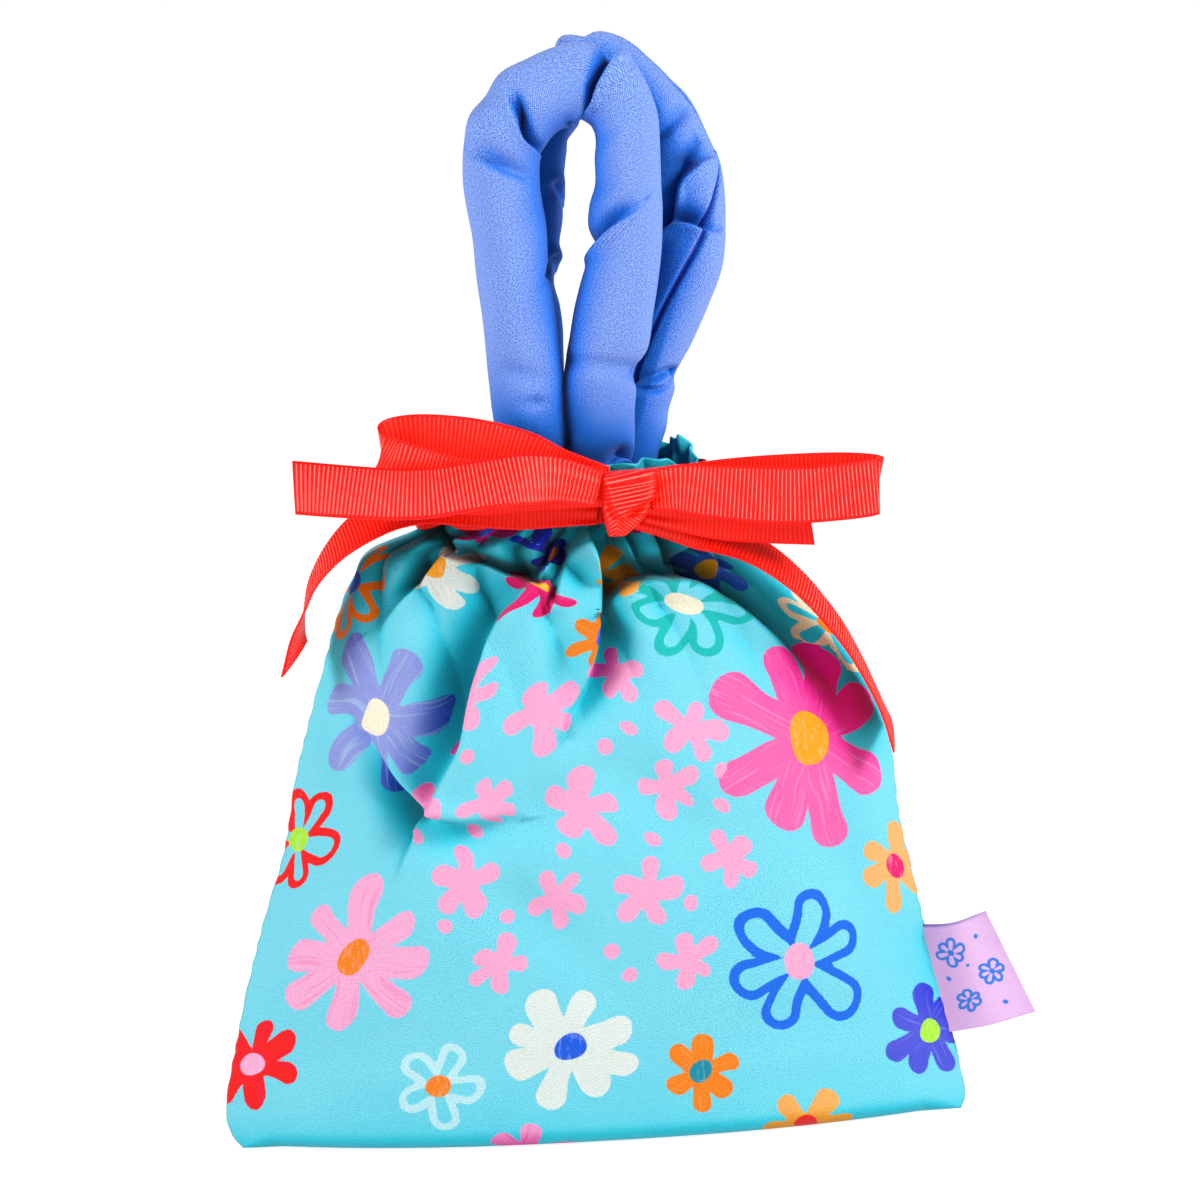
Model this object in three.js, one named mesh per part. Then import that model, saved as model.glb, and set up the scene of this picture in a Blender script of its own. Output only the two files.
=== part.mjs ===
// A drawstring pouch of printed cloth that stands filled on its base. Its neck is gathered under a
// grosgrain ribbon with a bow, and two stuffed cloth handles rise out of the mouth.
// Millimetres, +Z up, the front of the pouch towards -Y. The origin lies on the base.
import * as THREE from "three";

// Thicknesses and clearances
const SEAM_ALLOWANCE = 2.4;
const FOOT_CLOTH = 1.5;
const RIBBON_CLOTH = 1;
const LABEL_CLOTH = 1.2;
const GAP = 0.3;

// The panels meet in one upright plane, just behind the origin.
const SEAM_Y = 1;
const FOOT_RADIUS = 6;
const FOOT_TOP = 12;
const FRONT_HEM = 195;
const BACK_HEM = 199;
const GATHERS = 7;
const LENS_POWER = 2.4;

// Folds and gathers fade between this share of the half width and the side seam. The powers say
// how close to the seam the cloth thickens, and how the rows of the grid crowd towards the neck.
const FOLDS_FADE = 0.82;
const SEAM_POWER = 6;
const NECK_POWER = 1.35;

// The ribbon round the neck, drawn a little narrower by the knot
const NECK_RIBBON_HEIGHT = 14.6;
const NECK_RIBBON_LOW = 179.2;
const NECK_RIBBON_CLEARANCE = 2.4;

// Where the neck ribbon starts and how far it goes round, counted in half panels from the middle
// of the front, and the share of its height at which it bends
const NECK_RIBBON_START = 0.34;
const NECK_RIBBON_ROUND = 3.94;
const NECK_RIBBON_BEND = 0.3;

// Steps and sides of the meshes
const FOLD_STEPS = 16;
const NECK_RIBBON_STEPS = 34;
const HANDLE_STEPS = 36;
const LABEL_STEPS = 6;
const TUBE_SIDES = 12;

// The corners of the knot's sections: 1 is round, and lower is squarer.
const KNOT_ROUNDNESS = 0.5;

// Cross-sections of the filled pouch by height: the side seams, how far each panel stands out in
// its middle, how round the section is (0 is a lens, 1 an oval), the height of the gathers
// and the thickness of the cloth, which is crowded at the neck.
const SECTIONS = [
  { z: 0, left: -105, right: 105, front: 23.5, back: 23.5, round: 0, gather: 0, cloth: 1.5 },
  { z: 4, left: -108, right: 106.5, front: 24.2, back: 24.2, round: 0, gather: 0, cloth: 1.5 },
  { z: 12, left: -109.3, right: 105.5, front: 25.5, back: 25.5, round: 0, gather: 0, cloth: 1.5 },
  { z: 38, left: -103.5, right: 101, front: 29, back: 29, round: 0.1, gather: 0, cloth: 1.5 },
  { z: 64, left: -95.5, right: 95.5, front: 31.5, back: 31, round: 0.15, gather: 0, cloth: 1.5 },
  { z: 87, left: -87.3, right: 92, front: 32, back: 31.5, round: 0.2, gather: 0, cloth: 1.5 },
  { z: 113, left: -81.4, right: 90, front: 31.5, back: 31, round: 0.3, gather: 0.3, cloth: 1.5 },
  { z: 136, left: -74.3, right: 82, front: 30, back: 29, round: 0.45, gather: 0.9, cloth: 1.6 },
  { z: 155, left: -67.6, right: 65.5, front: 28, back: 27, round: 0.7, gather: 1.5, cloth: 1.9 },
  { z: 166, left: -62.2, right: 50, front: 25, back: 24, round: 0.9, gather: 1.9, cloth: 2.2 },
  { z: 173, left: -55, right: 41, front: 23.5, back: 22.5, round: 1, gather: 1.9, cloth: 2.2 },
  { z: 179, left: -42.5, right: 38, front: 21, back: 20, round: 1, gather: 1.4, cloth: 2 },
  { z: 187, left: -38, right: 37, front: 20, back: 19.5, round: 1, gather: 1.2, cloth: 1.8 },
  { z: 199, left: -40, right: 39, front: 21, back: 21, round: 1, gather: 1.5, cloth: 1.8 },
];

// Main folds, each along a bent line in the plane of the panel. A positive height stands out and
// a negative one sinks in; it changes evenly from the start of the line to its end.
const FRONT_FOLDS = [
  { name: "pleat ridge", from: [4, 168], bend: [5, 150], to: [3, 124], width: 5, start: 3.5, end: 1.5 },
  { name: "pleat dip", from: [12.5, 170], bend: [14, 152], to: [12, 120], width: 4.5, start: -6.5, end: -1.5 },
  { name: "left ridge", from: [-8, 162], bend: [-24, 144], to: [-40, 104], width: 8, start: 2.5, end: 4.5 },
  { name: "left dip", from: [-15, 162], bend: [-34, 138], to: [-49, 106], width: 6, start: -5.5, end: -7 },
  { name: "curled dip", from: [-57, 112], bend: [-46, 84], to: [5, 82], width: 8, start: -4.5, end: -1.5 },
  { name: "right dip", from: [22, 165], bend: [42, 163], to: [64, 144], width: 5, start: -6, end: -3 },
  { name: "edge dip", from: [-27, 166], bend: [-40, 162], to: [-53, 152], width: 4.5, start: -5.5, end: -3.5 },
  { name: "belly dip", from: [-10, 84], bend: [20, 75], to: [42, 46], width: 13, start: -3, end: -2 },
];
const BACK_FOLDS = [
  { name: "middle dip", from: [-4, 168], bend: [-8, 148], to: [-3, 116], width: 6, start: -4.5, end: -1 },
  { name: "left dip", from: [-26, 165], bend: [-36, 144], to: [-56, 100], width: 7, start: -4.5, end: -1.5 },
  { name: "right dip", from: [22, 165], bend: [34, 146], to: [60, 108], width: 7, start: -4.5, end: -1.5 },
  { name: "left ridge", from: [-14, 162], bend: [-22, 140], to: [-30, 100], width: 8, start: 2, end: 1.5 },
  { name: "belly dip", from: [-40, 80], bend: [0, 66], to: [44, 84], width: 14, start: -2, end: -2 },
];

// Centre lines of the stuffed handles with their half-widths, from the left foot to the right.
const FRONT_HANDLE = [
  { x: -9.6, y: -7.8, z: 182, wide: 9.2, deep: 6.6 },
  { x: -9.6, y: -7.9, z: 192, wide: 9.5, deep: 6.8 },
  { x: -9.7, y: -10.4, z: 207, wide: 10.5, deep: 9.3 },
  { x: -10.8, y: -11.8, z: 229, wide: 11.5, deep: 10.8 },
  { x: -11.9, y: -12.2, z: 250, wide: 11.7, deep: 11 },
  { x: -13.2, y: -12.2, z: 270, wide: 11, deep: 11 },
  { x: -11.4, y: -12.2, z: 286.5, wide: 10.2, deep: 10.6 },
  { x: -3.6, y: -12.2, z: 298, wide: 10.6, deep: 10.6 },
  { x: 7.5, y: -12.2, z: 303.3, wide: 10.8, deep: 10.6 },
  { x: 17.2, y: -12.2, z: 299, wide: 10.4, deep: 10.6 },
  { x: 21.6, y: -12.2, z: 286, wide: 9.6, deep: 10.8 },
  { x: 21.4, y: -12.2, z: 268, wide: 9.8, deep: 11 },
  { x: 20.2, y: -12, z: 250, wide: 10.2, deep: 11 },
  { x: 15.8, y: -11.8, z: 230, wide: 10.5, deep: 10.8 },
  { x: 12.6, y: -10.2, z: 209, wide: 10.1, deep: 9.4 },
  { x: 11.2, y: -7.5, z: 192, wide: 9.1, deep: 6.5 },
  { x: 11.2, y: -7.6, z: 182, wide: 9, deep: 6.5 },
];
const BACK_HANDLE = [
  { x: -9, y: 8.2, z: 182, wide: 9.2, deep: 6.6 },
  { x: -9, y: 8.4, z: 192, wide: 9.6, deep: 6.8 },
  { x: -9.2, y: 11.2, z: 208, wide: 10.4, deep: 9.2 },
  { x: -9, y: 12.8, z: 230, wide: 11, deep: 10.8 },
  { x: -6.9, y: 12.8, z: 254, wide: 11, deep: 10.8 },
  { x: -3.6, y: 12.8, z: 273, wide: 10.8, deep: 10.8 },
  { x: 2.6, y: 12.8, z: 292, wide: 10.6, deep: 10.6 },
  { x: 14.5, y: 12.8, z: 305, wide: 10.8, deep: 10.6 },
  { x: 28.5, y: 12.8, z: 301, wide: 10.8, deep: 10.6 },
  { x: 37, y: 12.8, z: 286, wide: 10.8, deep: 10.6 },
  { x: 38.7, y: 12.8, z: 267, wide: 11, deep: 10.8 },
  { x: 37, y: 12.8, z: 248, wide: 11, deep: 10.8 },
  { x: 31.5, y: 12.8, z: 231, wide: 11, deep: 10.8 },
  { x: 25.6, y: 11.4, z: 215, wide: 10.4, deep: 9.6 },
  { x: 20.8, y: 7.6, z: 201, wide: 9.2, deep: 6.6 },
  { x: 19.2, y: 6.8, z: 191, wide: 8.6, deep: 5.8 },
  { x: 19.2, y: 6.8, z: 182, wide: 8.4, deep: 5.6 },
];

// The ribbons by their centre line: how the width leans to the right of upright, how far its top
// edge comes forward (both in degrees), its width, and how far a cut end is slanted.
const BOW_LOOP_LEFT = [
  { x: 9.1, y: -26.8, z: 191.4, lean: 6, forward: 0, wide: 10 },
  { x: -3, y: -26.6, z: 195.2, lean: 16, forward: 0, wide: 14 },
  { x: -12, y: -26.2, z: 199.4, lean: 19, forward: 0, wide: 15.6 },
  { x: -25, y: -25.4, z: 203.2, lean: 15, forward: 0, wide: 16 },
  { x: -38.7, y: -25, z: 205.2, lean: 13, forward: 0, wide: 16 },
  { x: -47.6, y: -25.4, z: 204.8, lean: 15, forward: 0, wide: 16 },
  { x: -51.4, y: -28.2, z: 202.6, lean: 16, forward: 0, wide: 16 },
  { x: -50, y: -31.4, z: 200, lean: 16, forward: 0, wide: 16 },
  { x: -45, y: -32.4, z: 198, lean: 15, forward: 0, wide: 16 },
  { x: -36.8, y: -32, z: 194.9, lean: 15, forward: 0, wide: 16 },
  { x: -25.5, y: -31.6, z: 192, lean: 13, forward: 0, wide: 15.4 },
  { x: -8, y: -30.6, z: 191, lean: 9, forward: 0, wide: 13 },
  { x: 9.1, y: -29.4, z: 190.6, lean: 6, forward: 0, wide: 10 },
];
const BOW_LOOP_RIGHT = [
  { x: 27, y: -31.6, z: 188.6, lean: 10, forward: 0, wide: 9.5 },
  { x: 33.2, y: -33, z: 188.9, lean: 18, forward: 0, wide: 13 },
  { x: 41, y: -34.6, z: 187.6, lean: 18, forward: 0, wide: 15 },
  { x: 55.3, y: -36.2, z: 186, lean: 9, forward: 0, wide: 16 },
  { x: 66, y: -36.6, z: 185.3, lean: 4, forward: 0, wide: 16 },
  { x: 77, y: -36, z: 185.5, lean: 4, forward: 0, wide: 16 },
  { x: 85, y: -34.4, z: 185.9, lean: 5, forward: 0, wide: 16 },
  { x: 88.3, y: -31.6, z: 186.4, lean: 5, forward: 0, wide: 16 },
  { x: 85.4, y: -29.4, z: 187.4, lean: 4, forward: 0, wide: 16 },
  { x: 74, y: -28.7, z: 188.3, lean: 3, forward: 0, wide: 16 },
  { x: 53.3, y: -28.7, z: 188.7, lean: 3, forward: 0, wide: 15.4 },
  { x: 36, y: -29, z: 188.9, lean: 3, forward: 0, wide: 13 },
  { x: 27, y: -29.2, z: 188.6, lean: 3, forward: 0, wide: 9.5 },
];
const BOW_TAIL_LEFT = [
  { x: 9.3, y: -32.4, z: 190, lean: 4, forward: 0, wide: 10, cut: 0 },
  { x: -2, y: -35, z: 193.4, lean: 16, forward: -15, wide: 13, cut: 0 },
  { x: -12, y: -38, z: 194.3, lean: 20, forward: -32, wide: 15.6, cut: 0 },
  { x: -20, y: -39.6, z: 193.9, lean: 20, forward: -35, wide: 16, cut: 0 },
  { x: -29, y: -40.2, z: 193, lean: 17, forward: -34, wide: 16, cut: 0 },
  { x: -38, y: -40.2, z: 192.1, lean: 14, forward: -33, wide: 16, cut: 0 },
  { x: -48, y: -39.6, z: 192.3, lean: 9, forward: -31, wide: 16, cut: 0 },
  { x: -61, y: -38.4, z: 193.6, lean: 3, forward: -29, wide: 16, cut: 0 },
  { x: -76.2, y: -36.6, z: 195.5, lean: -1, forward: -27, wide: 16, cut: 1.5 },
];
const BOW_TAIL_RIGHT = [
  { x: 25.8, y: -27.4, z: 182.8, lean: 8, forward: 0, wide: 8, cut: 0 },
  { x: 36.8, y: -27, z: 181.6, lean: 10, forward: 0, wide: 14, cut: 0 },
  { x: 46.6, y: -27, z: 180.4, lean: 9, forward: 0, wide: 16, cut: 0 },
  { x: 56.7, y: -27, z: 179.3, lean: 7, forward: 0, wide: 16, cut: 0 },
  { x: 68.9, y: -27, z: 178.2, lean: 3, forward: 0, wide: 16, cut: -1.5 },
];
const NECK_TAIL_LEFT = [
  { x: 8.9, y: -24.6, z: 184.6, lean: 0, forward: 0, wide: 11, cut: 0 },
  { x: -2, y: -24.4, z: 186.2, lean: 0, forward: 0, wide: 14.5, cut: 0 },
  { x: -14, y: -23.6, z: 186.8, lean: 0, forward: 0, wide: 16, cut: 0 },
  { x: -27, y: -21.8, z: 188.2, lean: 2, forward: -8, wide: 16, cut: 0 },
  { x: -38.3, y: -20.4, z: 189, lean: 4, forward: -26, wide: 16, cut: 0 },
  { x: -47.6, y: -19.6, z: 186.8, lean: 3, forward: -42, wide: 16, cut: 0 },
  { x: -56, y: -19, z: 182.8, lean: 1, forward: -52, wide: 16, cut: 0 },
  { x: -63.2, y: -18.2, z: 178.2, lean: -2, forward: -58, wide: 16, cut: 0 },
  { x: -69, y: -16.8, z: 172.6, lean: -6, forward: -66, wide: 16, cut: 0 },
  { x: -73.4, y: -15, z: 166.4, lean: -10, forward: -74, wide: 16, cut: 0 },
  { x: -76.4, y: -13, z: 159.4, lean: -38, forward: -86, wide: 16, cut: 0 },
  { x: -78.8, y: -11.4, z: 151.6, lean: -72, forward: -99, wide: 16, cut: 0 },
  { x: -80.4, y: -10.4, z: 144, lean: -88, forward: -109, wide: 16, cut: -4 },
];
const NECK_TAIL_RIGHT = [
  { x: 24.8, y: -24.8, z: 180.4, lean: 20, forward: 0, wide: 6, cut: 0 },
  { x: 30.6, y: -24.2, z: 179.4, lean: 12, forward: -4, wide: 12, cut: 0 },
  { x: 38, y: -22.7, z: 177.4, lean: 9, forward: -25, wide: 15.5, cut: 0 },
  { x: 45, y: -22, z: 173.8, lean: 10, forward: -50, wide: 16, cut: 0 },
  { x: 52, y: -22.2, z: 169.8, lean: 12, forward: -62, wide: 16, cut: 0 },
  { x: 59, y: -21.6, z: 164.8, lean: 8, forward: -64, wide: 16, cut: 0 },
  { x: 65.2, y: -20.2, z: 159, lean: -2, forward: -62, wide: 16, cut: 0 },
  { x: 71, y: -19, z: 152, lean: -6, forward: -60, wide: 16, cut: 0 },
  { x: 77.4, y: -16.5, z: 142.6, lean: -10, forward: -56, wide: 16, cut: 0 },
  { x: 82.8, y: -14, z: 132, lean: -12, forward: -54, wide: 16, cut: 0 },
  { x: 87, y: -11.2, z: 121.8, lean: -10, forward: -56, wide: 16, cut: 0 },
  { x: 90.2, y: -8.8, z: 112, lean: 2, forward: -60, wide: 16, cut: -2 },
];

// The knot: the ribbon wrapped upright over the middle of the bow, drawn to a point below.
const KNOT = [
  { x: 18.2, y: -27.7, z: 194.2, wide: 7.4, deep: 4 },
  { x: 18.2, y: -27.8, z: 192.8, wide: 8.3, deep: 6 },
  { x: 17.8, y: -27.9, z: 188, wide: 8.2, deep: 6.1 },
  { x: 17, y: -27.8, z: 183.4, wide: 7, deep: 6 },
  { x: 15.4, y: -27.5, z: 179, wide: 4.7, deep: 5.6 },
  { x: 14, y: -26.8, z: 176, wide: 2.6, deep: 4 },
];

// The side label: where it leaves the seam and its far corners, seen from the front.
const LABEL = { seamLow: 22.4, seamHigh: 54.8, farLow: [127.6, 28.5], farHigh: [114.6, 58.8], curl: 3 };

const CLOTH_PRINT = new THREE.MeshStandardMaterial({ color: "#5fd0e4", roughness: 0.75, metalness: 0 });
const HANDLE_CLOTH = new THREE.MeshStandardMaterial({ color: "#6a8ce6", roughness: 0.8, metalness: 0 });
const GROSGRAIN = new THREE.MeshStandardMaterial({ color: "#f5432f", roughness: 0.6, metalness: 0 });
const SATIN = new THREE.MeshStandardMaterial({ color: "#dfa6e4", roughness: 0.4, metalness: 0 });

const { lerp, clamp, smoothstep, degToRad } = THREE.MathUtils;

// A row between the rows of a table, every column on a smooth curve through its values.
function rowAt(rows, column, value) {
  const next = rows.findIndex((row) => row[column] > value);
  const i = next < 0 ? rows.length - 2 : Math.max(next - 1, 0);
  const [a, b] = [rows[i], rows[i + 1]];
  const [before, after] = [rows[Math.max(i - 1, 0)], rows[Math.min(i + 2, rows.length - 1)]];
  const span = b[column] - a[column];
  const t = clamp((value - a[column]) / span, 0, 1);
  const found = {};
  for (const key of Object.keys(a)) {
    const slopeA = ((b[key] - before[key]) / (b[column] - before[column])) * span;
    const slopeB = ((after[key] - a[key]) / (after[column] - a[column])) * span;
    const bow = slopeA * t * (1 - t) ** 2 - slopeB * t * t * (1 - t);
    found[key] = lerp(a[key], b[key], t * t * (3 - 2 * t)) + bow;
  }
  return found;
}

// Evenly numbered rows between those of a ribbon or a handle.
function refine(rows, steps) {
  const numbered = rows.map((row, step) => ({ ...row, step }));
  const refined = [];
  for (let i = 0; i <= steps; i++) refined.push(rowAt(numbered, "step", (i / steps) * (rows.length - 1)));
  return refined;
}

// A closed body from corner points and triangles, turned so that its faces point out.
function body(points, faces) {
  const volume = faces.reduce(
    (sum, [a, b, c]) => sum + points[a].dot(new THREE.Vector3().crossVectors(points[b], points[c])),
    0,
  );
  const turned = volume < 0 ? faces.map(([a, b, c]) => [a, c, b]) : faces;
  const geometry = new THREE.BufferGeometry().setFromPoints(points);
  geometry.setIndex(turned.flat());
  geometry.computeVertexNormals();
  return geometry;
}

// A sheet of cloth from the grid of its outer side and the grid of its inner side.
function sheet(outer, inner) {
  const rows = outer.length;
  const columns = outer[0].length;
  const points = [...outer.flat(), ...inner.flat()];
  const out = (row, column) => row * columns + column;
  const back = (row, column) => rows * columns + out(row, column);
  const faces = [];
  const quad = (a, b, c, d) => faces.push([a, b, c], [a, c, d]);
  for (let r = 0; r < rows - 1; r++) {
    for (let c = 0; c < columns - 1; c++) {
      quad(out(r, c), out(r, c + 1), out(r + 1, c + 1), out(r + 1, c));
      quad(back(r, c), back(r + 1, c), back(r + 1, c + 1), back(r, c + 1));
    }
  }
  for (let r = 0; r < rows - 1; r++) {
    quad(out(r, 0), out(r + 1, 0), back(r + 1, 0), back(r, 0));
    quad(out(r + 1, columns - 1), out(r, columns - 1), back(r, columns - 1), back(r + 1, columns - 1));
  }
  for (let c = 0; c < columns - 1; c++) {
    quad(out(0, c + 1), out(0, c), back(0, c), back(0, c + 1));
    quad(out(rows - 1, c), out(rows - 1, c + 1), back(rows - 1, c + 1), back(rows - 1, c));
  }
  return body(points, faces);
}

// A skin over rings of points, with both ends closed.
function skin(rings) {
  const count = rings[0].length;
  const faces = [];
  for (let r = 0; r < rings.length - 1; r++) {
    for (let i = 0; i < count; i++) {
      const [a, b] = [r * count + i, r * count + ((i + 1) % count)];
      faces.push([a, b, b + count], [a, b + count, a + count]);
    }
  }
  const last = (rings.length - 1) * count;
  for (let i = 1; i < count - 1; i++) {
    faces.push([0, i + 1, i], [last, last + i, last + i + 1]);
  }
  return body(rings.flat(), faces);
}

// A point of the smooth pouch wall, with the direction that points out of it in plan.
function wall(u, z, panel) {
  const row = rowAt(SECTIONS, "z", z);
  const angle = (u * Math.PI) / 2;
  const across = lerp(u, Math.sin(angle), row.round);
  const bulge = lerp(1 - Math.abs(u) ** LENS_POWER, Math.max(Math.cos(angle), 0), row.round);
  const half = (row.right - row.left) / 2;
  const out = new THREE.Vector2(row[panel.depth] * across, half * bulge).normalize();
  return { ...row, x: row.left + half * (1 + across), depth: row[panel.depth] * bulge, out };
}

// How far the gathers and the main folds move the cloth out.
function foldHeight(u, x, z, gather, panel) {
  const inside = 1 - smoothstep(Math.abs(u), FOLDS_FADE, 1);
  const above = smoothstep(z, FOOT_TOP, 4 * FOOT_TOP);
  let height = gather * Math.cos(Math.PI * GATHERS * (u + 1) + Math.sin(3 * u));
  for (const fold of panel.folds) {
    fold.line ??= new THREE.QuadraticBezierCurve(
      new THREE.Vector2(...fold.from),
      new THREE.Vector2(...fold.bend),
      new THREE.Vector2(...fold.to),
    ).getPoints(FOLD_STEPS);
    const distances = fold.line.map((point) => Math.hypot(point.x - x, point.y - z));
    const nearest = Math.min(...distances);
    const along = distances.indexOf(nearest) / FOLD_STEPS;
    height += lerp(fold.start, fold.end, along) * Math.exp(-((nearest / fold.width) ** 2));
  }
  return height * inside * above;
}

// Where the cloth runs at a share of the way from the bottom seam to the top of the foot.
function footPlace(u, share, panel) {
  const base = wall(u, 0, panel).depth;
  const radius = Math.min(FOOT_RADIUS, base);
  const flat = base - radius;
  const arc = (radius * Math.PI) / 2;
  const run = share * (flat + arc + FOOT_TOP - radius);
  if (run < flat) return { z: 0, turn: 0, inset: base - run };
  if (run < flat + arc) {
    const turn = (run - flat) / radius;
    return { z: radius * (1 - Math.cos(turn)), turn, inset: radius * (1 - Math.sin(turn)) };
  }
  return { z: radius + run - flat - arc, turn: Math.PI / 2, inset: 0 };
}

// One panel as a sheet: under the foot from the bottom seam, round the foot's edge and up.
function panelGeometry(panel) {
  const outer = [];
  const inner = [];
  const stations = [];
  for (let i = 0; i <= panel.footRows; i++) stations.push({ share: i / panel.footRows });
  for (let i = 1; i <= panel.wallRows; i++) {
    const rise = 1 - (1 - i / panel.wallRows) ** NECK_POWER;
    stations.push({ z: lerp(FOOT_TOP, panel.hem, rise) });
  }
  for (const station of stations) {
    const outerRow = [];
    const innerRow = [];
    for (let i = 0; i <= panel.columns; i++) {
      const u = (2 * i) / panel.columns - 1;
      const place = station.z
        ? { z: station.z, turn: Math.PI / 2, inset: 0 }
        : footPlace(u, station.share, panel);
      const at = wall(u, place.z, panel);
      const height = foldHeight(u, at.x, place.z, at.gather, panel);
      const thick = lerp(at.cloth, SEAM_ALLOWANCE, Math.abs(u) ** SEAM_POWER);
      const point = (offset, lift) =>
        new THREE.Vector3(
          at.x + at.out.x * (height + offset),
          SEAM_Y + panel.side * (GAP / 2 + at.depth - place.inset + at.out.y * (height + offset)),
          place.z + lift,
        );
      outerRow.push(point(0, 0));
      innerRow.push(point(-thick * Math.sin(place.turn), FOOT_CLOTH * Math.cos(place.turn)));
      innerRow[i].z = Math.max(innerRow[i].z, FOOT_CLOTH);
    }
    outer.push(outerRow);
    inner.push(innerRow);
  }
  return sheet(outer, inner);
}

// The ribbon round the gathered neck. Its ends lie under the knot.
function neckRibbonGeometry() {
  const rings = [];
  for (let i = 0; i <= NECK_RIBBON_STEPS; i++) {
    const turn = NECK_RIBBON_START + (i / NECK_RIBBON_STEPS) * NECK_RIBBON_ROUND;
    const u = turn < 1 ? turn : turn < 3 ? 2 - turn : turn - 4;
    const panel = turn < 1 || turn > 3 ? FRONT : BACK;
    const point = (share, offset) => {
      const z = NECK_RIBBON_LOW + share * NECK_RIBBON_HEIGHT;
      const at = wall(u, z, panel);
      const grow = NECK_RIBBON_CLEARANCE + offset;
      const y = SEAM_Y + panel.side * (at.depth + at.out.y * grow);
      return new THREE.Vector3(at.x + at.out.x * grow, y, z);
    };
    const outside = [0, NECK_RIBBON_BEND, 1].map((share) => point(share, RIBBON_CLOTH));
    const inside = [1, NECK_RIBBON_BEND, 0].map((share) => point(share, 0));
    rings.push([...outside, ...inside]);
  }
  return skin(rings);
}

// A flat ribbon that follows a table's centre line.
function ribbonGeometry(rows, steps) {
  const refined = refine(rows, steps);
  const centres = refined.map((row) => new THREE.Vector3(row.x, row.y, row.z));
  const rings = refined.map((row, i) => {
    const along = new THREE.Vector3()
      .subVectors(centres[Math.min(i + 1, steps)], centres[Math.max(i - 1, 0)])
      .normalize();
    const [lean, forward] = [degToRad(row.lean), degToRad(row.forward)];
    const width = new THREE.Vector3(
      Math.sin(lean) * Math.cos(forward),
      -Math.sin(forward),
      Math.cos(lean) * Math.cos(forward),
    );
    width.addScaledVector(along, -width.dot(along)).normalize();
    const face = new THREE.Vector3().crossVectors(along, width);
    const corner = (side, layer) =>
      centres[i]
        .clone()
        .addScaledVector(width, (side * row.wide) / 2)
        .addScaledVector(face, (layer * RIBBON_CLOTH) / 2)
        .addScaledVector(along, side * (row.cut ?? 0));
    return [corner(1, 1), corner(-1, 1), corner(-1, -1), corner(1, -1)];
  });
  return skin(rings);
}

// A stuffed tube along a table's centre line, with oval sections across the line.
function handleGeometry(rows) {
  const refined = refine(rows, HANDLE_STEPS);
  const centres = refined.map((row) => new THREE.Vector3(row.x, row.y, row.z));
  const depthwise = new THREE.Vector3(0, 1, 0);
  const rings = refined.map((row, i) => {
    const along = new THREE.Vector3()
      .subVectors(centres[Math.min(i + 1, HANDLE_STEPS)], centres[Math.max(i - 1, 0)])
      .setY(0)
      .normalize();
    const across = new THREE.Vector3().crossVectors(along, depthwise);
    const ring = [];
    for (let k = 0; k < TUBE_SIDES; k++) {
      const angle = (2 * Math.PI * k) / TUBE_SIDES;
      ring.push(
        centres[i]
          .clone()
          .addScaledVector(across, row.wide * Math.cos(angle))
          .addScaledVector(depthwise, row.deep * Math.sin(angle)),
      );
    }
    return ring;
  });
  return skin(rings);
}

// The knot as rounded level sections.
function knotGeometry() {
  const rings = KNOT.map((row) => {
    const ring = [];
    for (let k = 0; k < TUBE_SIDES; k++) {
      const angle = (2 * Math.PI * k) / TUBE_SIDES;
      const [cos, sin] = [Math.cos(angle), Math.sin(angle)];
      const x = row.x + row.wide * Math.sign(cos) * Math.abs(cos) ** KNOT_ROUNDNESS;
      const y = row.y + row.deep * Math.sign(sin) * Math.abs(sin) ** KNOT_ROUNDNESS;
      ring.push(new THREE.Vector3(x, y, row.z));
    }
    return ring;
  });
  return skin(rings);
}

// The label, which curls forward a little between the seam and its free edge.
function labelGeometry() {
  const rings = [];
  const nearEdge = (z) => wall(1, z, FRONT).x + 2 * GAP;
  for (let i = 0; i <= LABEL_STEPS; i++) {
    const share = i / LABEL_STEPS;
    const curl = LABEL.curl * Math.sin(Math.PI * share) ** 2 + 2 * LABEL.curl * share * share;
    const low = [
      lerp(nearEdge(LABEL.seamLow), LABEL.farLow[0], share),
      lerp(LABEL.seamLow, LABEL.farLow[1], share),
    ];
    const high = [
      lerp(nearEdge(LABEL.seamHigh), LABEL.farHigh[0], share),
      lerp(LABEL.seamHigh, LABEL.farHigh[1], share),
    ];
    const corner = ([x, z], layer) =>
      new THREE.Vector3(x, SEAM_Y - curl + (layer * LABEL_CLOTH) / 2, z);
    rings.push([corner(low, -1), corner(high, -1), corner(high, 1), corner(low, 1)]);
  }
  return skin(rings);
}

const FRONT = {
  side: -1,
  depth: "front",
  hem: FRONT_HEM,
  folds: FRONT_FOLDS,
  columns: 36,
  footRows: 5,
  wallRows: 19,
};
const BACK = {
  side: 1,
  depth: "back",
  hem: BACK_HEM,
  folds: BACK_FOLDS,
  columns: 28,
  footRows: 4,
  wallRows: 16,
};

const pouch = new THREE.Group();

function add(name, geometry, material) {
  const mesh = new THREE.Mesh(geometry, material);
  mesh.name = name;
  pouch.add(mesh);
}

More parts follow.
